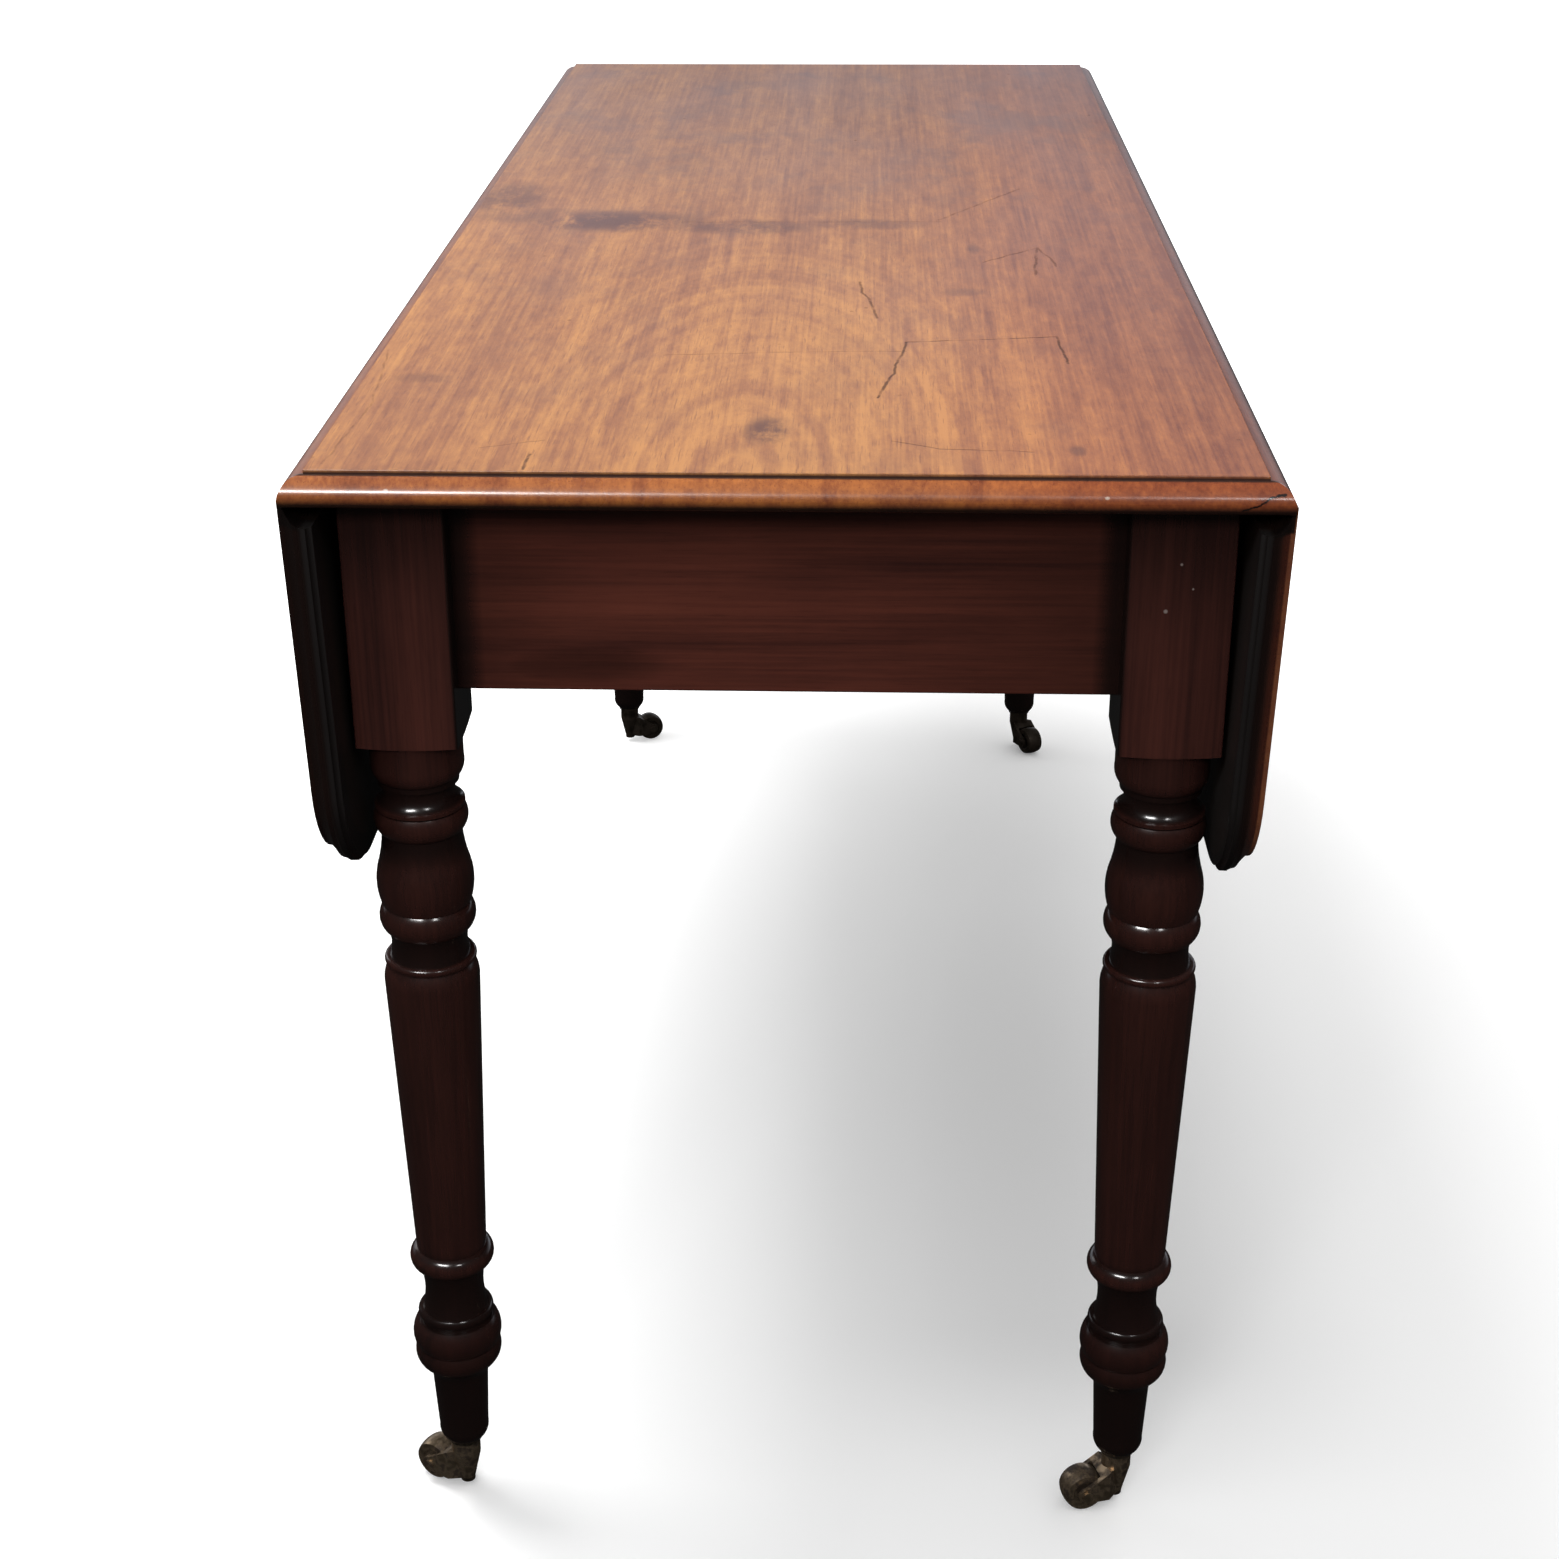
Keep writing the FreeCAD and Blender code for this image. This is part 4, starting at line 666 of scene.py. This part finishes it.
def ease(node, body, width, chosen, material):
    """Stand a copy in for a node, with the edges that chosen() picks rounded over."""
    shape = bmesh.new()
    shape.from_mesh(frame["nodes"][node].data)
    bmesh.ops.remove_doubles(shape, verts=shape.verts, dist=MERGE_GAP)
    bmesh.ops.dissolve_limit(
        shape, angle_limit=FLAT_ANGLE, verts=shape.verts, edges=shape.edges)
    edges = [edge for edge in shape.edges if chosen(edge)]
    if not edges:
        raise RuntimeError(f"no edge of {node} to ease")
    rounded = set(bmesh.ops.bevel(
        shape, geom=edges, offset=width, offset_type="OFFSET", affect="EDGES", segments=3, profile=0.5,
        clamp_overlap=True, material=-1)["faces"])
    broad = {face for face in shape.faces if face.calc_area() > BROAD_AREA}
    for face in shape.faces:
        face.smooth = True
        face.material_index = 0
    for edge in shape.edges:
        faces = set(edge.link_faces)
        mixed = bool(faces & rounded) and not faces <= rounded
        edge.smooth = not (mixed or faces & broad or edge.calc_face_angle(0.0) > CREASE_ANGLE)
    mesh = bpy.data.meshes.new(f"polished_{node}")
    shape.to_mesh(mesh)
    shape.free()
    for name in ("custom_normal", "UVMap"):
        if name in mesh.attributes:
            mesh.attributes.remove(mesh.attributes[name])
    mesh.materials.append(material)
    piece = bpy.data.objects.new(f"polished_{node}", mesh)
    bpy.context.scene.collection.objects.link(piece)
    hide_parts(node)
    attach(piece, body)


class TABLE_OT_top(bpy.types.Operator):
    """Polish the fixed top and ease the edge of its upper face"""

    bl_idname = "table.top"
    bl_label = "Top"

    def execute(self, context):
        looks = context.scene.table_looks
        ease("top_board", "frame", looks.edge,
             rim_edge(lambda point: point.z - TABLE_HEIGHT), top_material(looks))
        return {"FINISHED"}


class TABLE_OT_leaves(bpy.types.Operator):
    """Polish the two drop leaves and ease the edge of their outer faces"""

    bl_idname = "table.leaves"
    bl_label = "Leaves"

    def execute(self, context):
        looks = context.scene.table_looks
        for side in SIDES:
            hinge = JOINTS[f"{side}_leaf_lift"]["pos_m"][2]
            chosen = rim_edge(
                lambda point, side=side: raised(side, point.x, point.z)[1] - (TABLE_HEIGHT - hinge))
            ease(f"{side}_leaf", f"{side}_leaf", looks.edge, chosen,
                 leaf_material(looks, side))
        return {"FINISHED"}


class TABLE_OT_legs(bpy.types.Operator):
    """Polish the four turned legs and ease the arrises of their square blocks"""

    bl_idname = "table.legs"
    bl_label = "Legs"

    def execute(self, context):
        looks = context.scene.table_looks
        polish = show_material(looks, "leg_polish", "Z", looks.leg_light, looks.leg_dark, leg_shade)
        for name in (f"{side}_{end}_leg" for side in SIDES for end in ENDS):
            ease(name, "frame", looks.arris, box_edge(name), polish)
        return {"FINISHED"}


class TABLE_OT_end_rails(bpy.types.Operator):
    """Polish the rails, drawer front and knobs at the two ends and ease their edges"""

    bl_idname = "table.end_rails"
    bl_label = "End rails"

    def execute(self, context):
        looks = context.scene.table_looks
        polish = show_material(
            looks, "apron_polish", "X", looks.apron_light, looks.apron_dark, apron_shade)
        for name in ("front_rail", "rear_upper_rail", "rear_lower_rail"):
            ease(name, "frame", looks.arris, box_edge(name), polish)
        ease("drawer_front", "drawer", looks.arris, box_edge("drawer_front"), polish)
        paint(["drawer_knobs"], polish)
        return {"FINISHED"}


class TABLE_OT_inner_frame(bpy.types.Operator):
    """Give the hidden rails, fly brackets and glue blocks their plain wood"""

    bl_idname = "table.inner_frame"
    bl_label = "Inner frame"

    def execute(self, context):
        looks = context.scene.table_looks
        lengthwise = [f"{side}_{name}" for side in SIDES for name in (
            "side_rail", "fly_rail", "front_bracket", "rear_bracket", "drawer_runner")]
        paint(lengthwise + ["glue_blocks", "drawer_kickers"], raw_material(looks, "inner_wood", "Y"))
        paint(["drawer_stops"], raw_material(looks, "stop_wood", "X"))
        return {"FINISHED"}


class TABLE_OT_drawer(bpy.types.Operator):
    """Give the drawer's sides, back and bottom their plain wood"""

    bl_idname = "table.drawer"
    bl_label = "Drawer"

    def execute(self, context):
        looks = context.scene.table_looks
        paint(["drawer_left_side", "drawer_right_side"], raw_material(looks, "drawer_side_wood", "Y"))
        paint(["drawer_back", "drawer_bottom"], raw_material(looks, "drawer_back_wood", "X"))
        return {"FINISHED"}


class TABLE_OT_ironwork(bpy.types.Operator):
    """Darken the hinges, their pins and all the screws"""

    bl_idname = "table.ironwork"
    bl_label = "Ironwork"

    def execute(self, context):
        names = [f"{side}_{name}" for side in SIDES for name in (
            "leaf_hinges", "leaf_screws", "frame_hinges", "frame_screws", "hinge_pins")]
        paint(names + ["top_screws", "bracket_pins"], iron_material())
        return {"FINISHED"}


class TABLE_OT_casters(bpy.types.Operator):
    """Tarnish the four brass casters; the far pair gets a darker copy as painted shade"""

    bl_idname = "table.casters"
    bl_label = "Casters"

    def execute(self, context):
        looks = context.scene.table_looks
        # The near casters' brass and a darker copy of it for the far ones, as painted shade.
        rubbed = brass_material("front_brass", looks.brass)
        rear_shaded = brass_material("rear_shaded_brass", looks.shaded_brass)
        for end, brass in zip(ENDS, (rubbed, rear_shaded)):
            paint([f"{end}_{side}_{name}" for side in SIDES for name in ("horn", "axle", "wheel")], brass)
        paint(["caster_pegs"], rear_shaded)
        return {"FINISHED"}


def soft_box(name, place, target, size, watts):
    """A rectangular studio light that faces a point and isn't seen by the camera."""
    light = bpy.data.lights.new(name, "AREA")
    light.shape = "RECTANGLE"
    light.size, light.size_y = size
    light.energy = watts
    lamp = bpy.data.objects.new(name, light)
    bpy.context.scene.collection.objects.link(lamp)
    lamp.location = place
    lamp.rotation_mode = "QUATERNION"
    lamp.rotation_quaternion = (Vector(target) - Vector(place)).to_track_quat("-Z", "Y")
    lamp.visible_camera = False
    return lamp


def floor_glow(finish):
    """Light that the floor gives off: least under the table's right half, more all round it."""
    x, y = finish.place()[:2]
    away = (((x - 0.32) * 1.2) ** 2 + ((y + 0.4) * 0.95) ** 2) ** 0.5
    near = y.ramp(-0.42, -0.62)
    beside = abs(x - 0.2).ramp(0.0, 0.26) * 0.2
    far = y.ramp(-0.2, 0.7) * 0.12
    fade = away.ramp(0.65, 2.1) * 0.6 + far + beside * (1 - near) + near * 0.21
    return finish.vector(fade, fade, fade)


class TABLE_OT_stage(bpy.types.Operator):
    """Lay the floor, set the lights and place the camera"""

    bl_idname = "table.stage"
    bl_label = "Stage"

    def execute(self, context):
        stage = context.scene.table_stage
        self.lay_floor(stage)
        self.light(context.scene, stage)
        self.aim_camera(context.scene, stage)
        return {"FINISHED"}

    def lay_floor(self, stage):
        shape = bmesh.new()
        bmesh.ops.create_grid(shape, x_segments=1, y_segments=1, size=stage.floor_side / 2)
        mesh = bpy.data.meshes.new("floor")
        shape.to_mesh(mesh)
        shape.free()
        floor = bpy.data.objects.new("floor", mesh)
        bpy.context.scene.collection.objects.link(floor)
        material, finish = new_finish("pale_floor")
        finish.surface(
            Base_Color=FLOOR_WHITE, Roughness=0.9, Specular_IOR_Level=0.0,
            Emission_Color=floor_glow(finish), Emission_Strength=1.0)
        mesh.materials.append(material)
        floor.visible_glossy = False
        floor.visible_diffuse = False

    def light(self, scene, stage):
        scene.view_settings.view_transform = "Standard"
        world = bpy.data.worlds.new("white_surroundings")
        scene.world = world
        world.use_nodes = True
        finish = Finish(world.node_tree)
        direction = finish.add("ShaderNodeTexCoord", output="Generated")
        aside = finish.add("ShaderNodeSeparateXYZ", inputs={0: direction})
        ahead = aside.other("Y")
        height = aside.other("Z")
        path = finish.add("ShaderNodeLightPath", output="Is Camera Ray")
        haze = ahead.ramp(0.3, 0.9) * height.ramp(0.42, 0.1) * height.ramp(-0.02, 0.02)
        dim = finish.colours(height.ramp(-0.05, 0.6), [(0.0, (0.012,) * 3), (1.0, (0.035,) * 3)])
        room = finish.mix(haze, dim, (0.92, 0.97, 1.06))
        fill = finish.colours(height.ramp(-0.1, 0.8), [(0.0, (0.05,) * 3), (1.0, (stage.sky,) * 3)])
        shade = finish.mix(path.other("Is Glossy Ray"), fill, room)
        shade = finish.mix(path, shade, (1.0, 1.0, 1.0))
        glow = finish.add("ShaderNodeBackground", inputs={"Color": shade, "Strength": 1.0})
        finish.add("ShaderNodeOutputWorld", inputs={"Surface": glow})
        middle = (0.0, 0.0, 0.4)
        for lamp in (
                soft_box("key_light", (-1.1, 0.2, 3.1), middle, (1.3, 1.3), 68.0),
                soft_box("front_light", (-0.5, -2.6, 1.7), middle, (0.75, 0.35), 14.0)):
            lamp.visible_glossy = False
        for lamp in (
                soft_box("left_window", (-1.05, -2.4, 2.6), middle, (1.2, 0.5), 72.0),
                soft_box("right_window", (0.9, -2.5, 2.5), middle, (0.4, 0.4), 12.0)):
            lamp.visible_diffuse = False
        soft_box("back_left_light", (-2.6, 1.8, 1.7), middle, (1.0, 1.4), 6.0)

    def aim_camera(self, scene, stage):
        sight = Vector((
            math.sin(stage.camera_yaw) * math.cos(stage.camera_pitch),
            math.cos(stage.camera_yaw) * math.cos(stage.camera_pitch),
            -math.sin(stage.camera_pitch)))
        level = Vector((math.cos(stage.camera_yaw), -math.sin(stage.camera_yaw), 0.0))
        down = sight.cross(level)
        right = level * math.cos(stage.camera_roll) + down * math.sin(stage.camera_roll)
        up = level * math.sin(stage.camera_roll) - down * math.cos(stage.camera_roll)
        turn = Matrix((right, up, -sight)).transposed()
        data = bpy.data.cameras.new("photo_camera")
        data.sensor_width = SENSOR_WIDTH
        data.lens = stage.focal_pixels * SENSOR_WIDTH / PHOTO_SIDE
        camera = bpy.data.objects.new("photo_camera", data)
        scene.collection.objects.link(camera)
        camera.matrix_world = Matrix.Translation(stage.camera_place) @ turn.to_4x4()
        scene.camera = camera


class TABLE_PT_panel(bpy.types.Panel):
    """Buttons and settings for the table's looks"""

    bl_idname = "TABLE_PT_panel"
    bl_label = "Pembroke table"
    bl_space_type = "VIEW_3D"
    bl_region_type = "UI"
    bl_category = "Table"

    def draw(self, context):
        for operator in OPERATORS:
            self.layout.operator(operator.bl_idname)
        for group in (context.scene.table_looks, context.scene.table_stage):
            for name in group.__annotations__:
                self.layout.prop(group, name)


OPERATORS = (
    TABLE_OT_top, TABLE_OT_leaves, TABLE_OT_legs, TABLE_OT_end_rails, TABLE_OT_inner_frame,
    TABLE_OT_drawer, TABLE_OT_ironwork, TABLE_OT_casters, TABLE_OT_stage)
CLASSES = (TableLooks, TableStage, *OPERATORS, TABLE_PT_panel)


def register():
    for entry in CLASSES:
        bpy.utils.register_class(entry)
    bpy.types.Scene.table_looks = bpy.props.PointerProperty(type=TableLooks)
    bpy.types.Scene.table_stage = bpy.props.PointerProperty(type=TableStage)


def unregister():
    del bpy.types.Scene.table_stage
    del bpy.types.Scene.table_looks
    for entry in reversed(CLASSES):
        bpy.utils.unregister_class(entry)


def main():
    register()
    bpy.ops.table.top()
    bpy.ops.table.leaves()
    bpy.ops.table.legs()
    bpy.ops.table.end_rails()
    bpy.ops.table.inner_frame()
    bpy.ops.table.drawer()
    bpy.ops.table.ironwork()
    bpy.ops.table.casters()
    bpy.ops.table.stage()


if __name__ == "__main__":
    main()
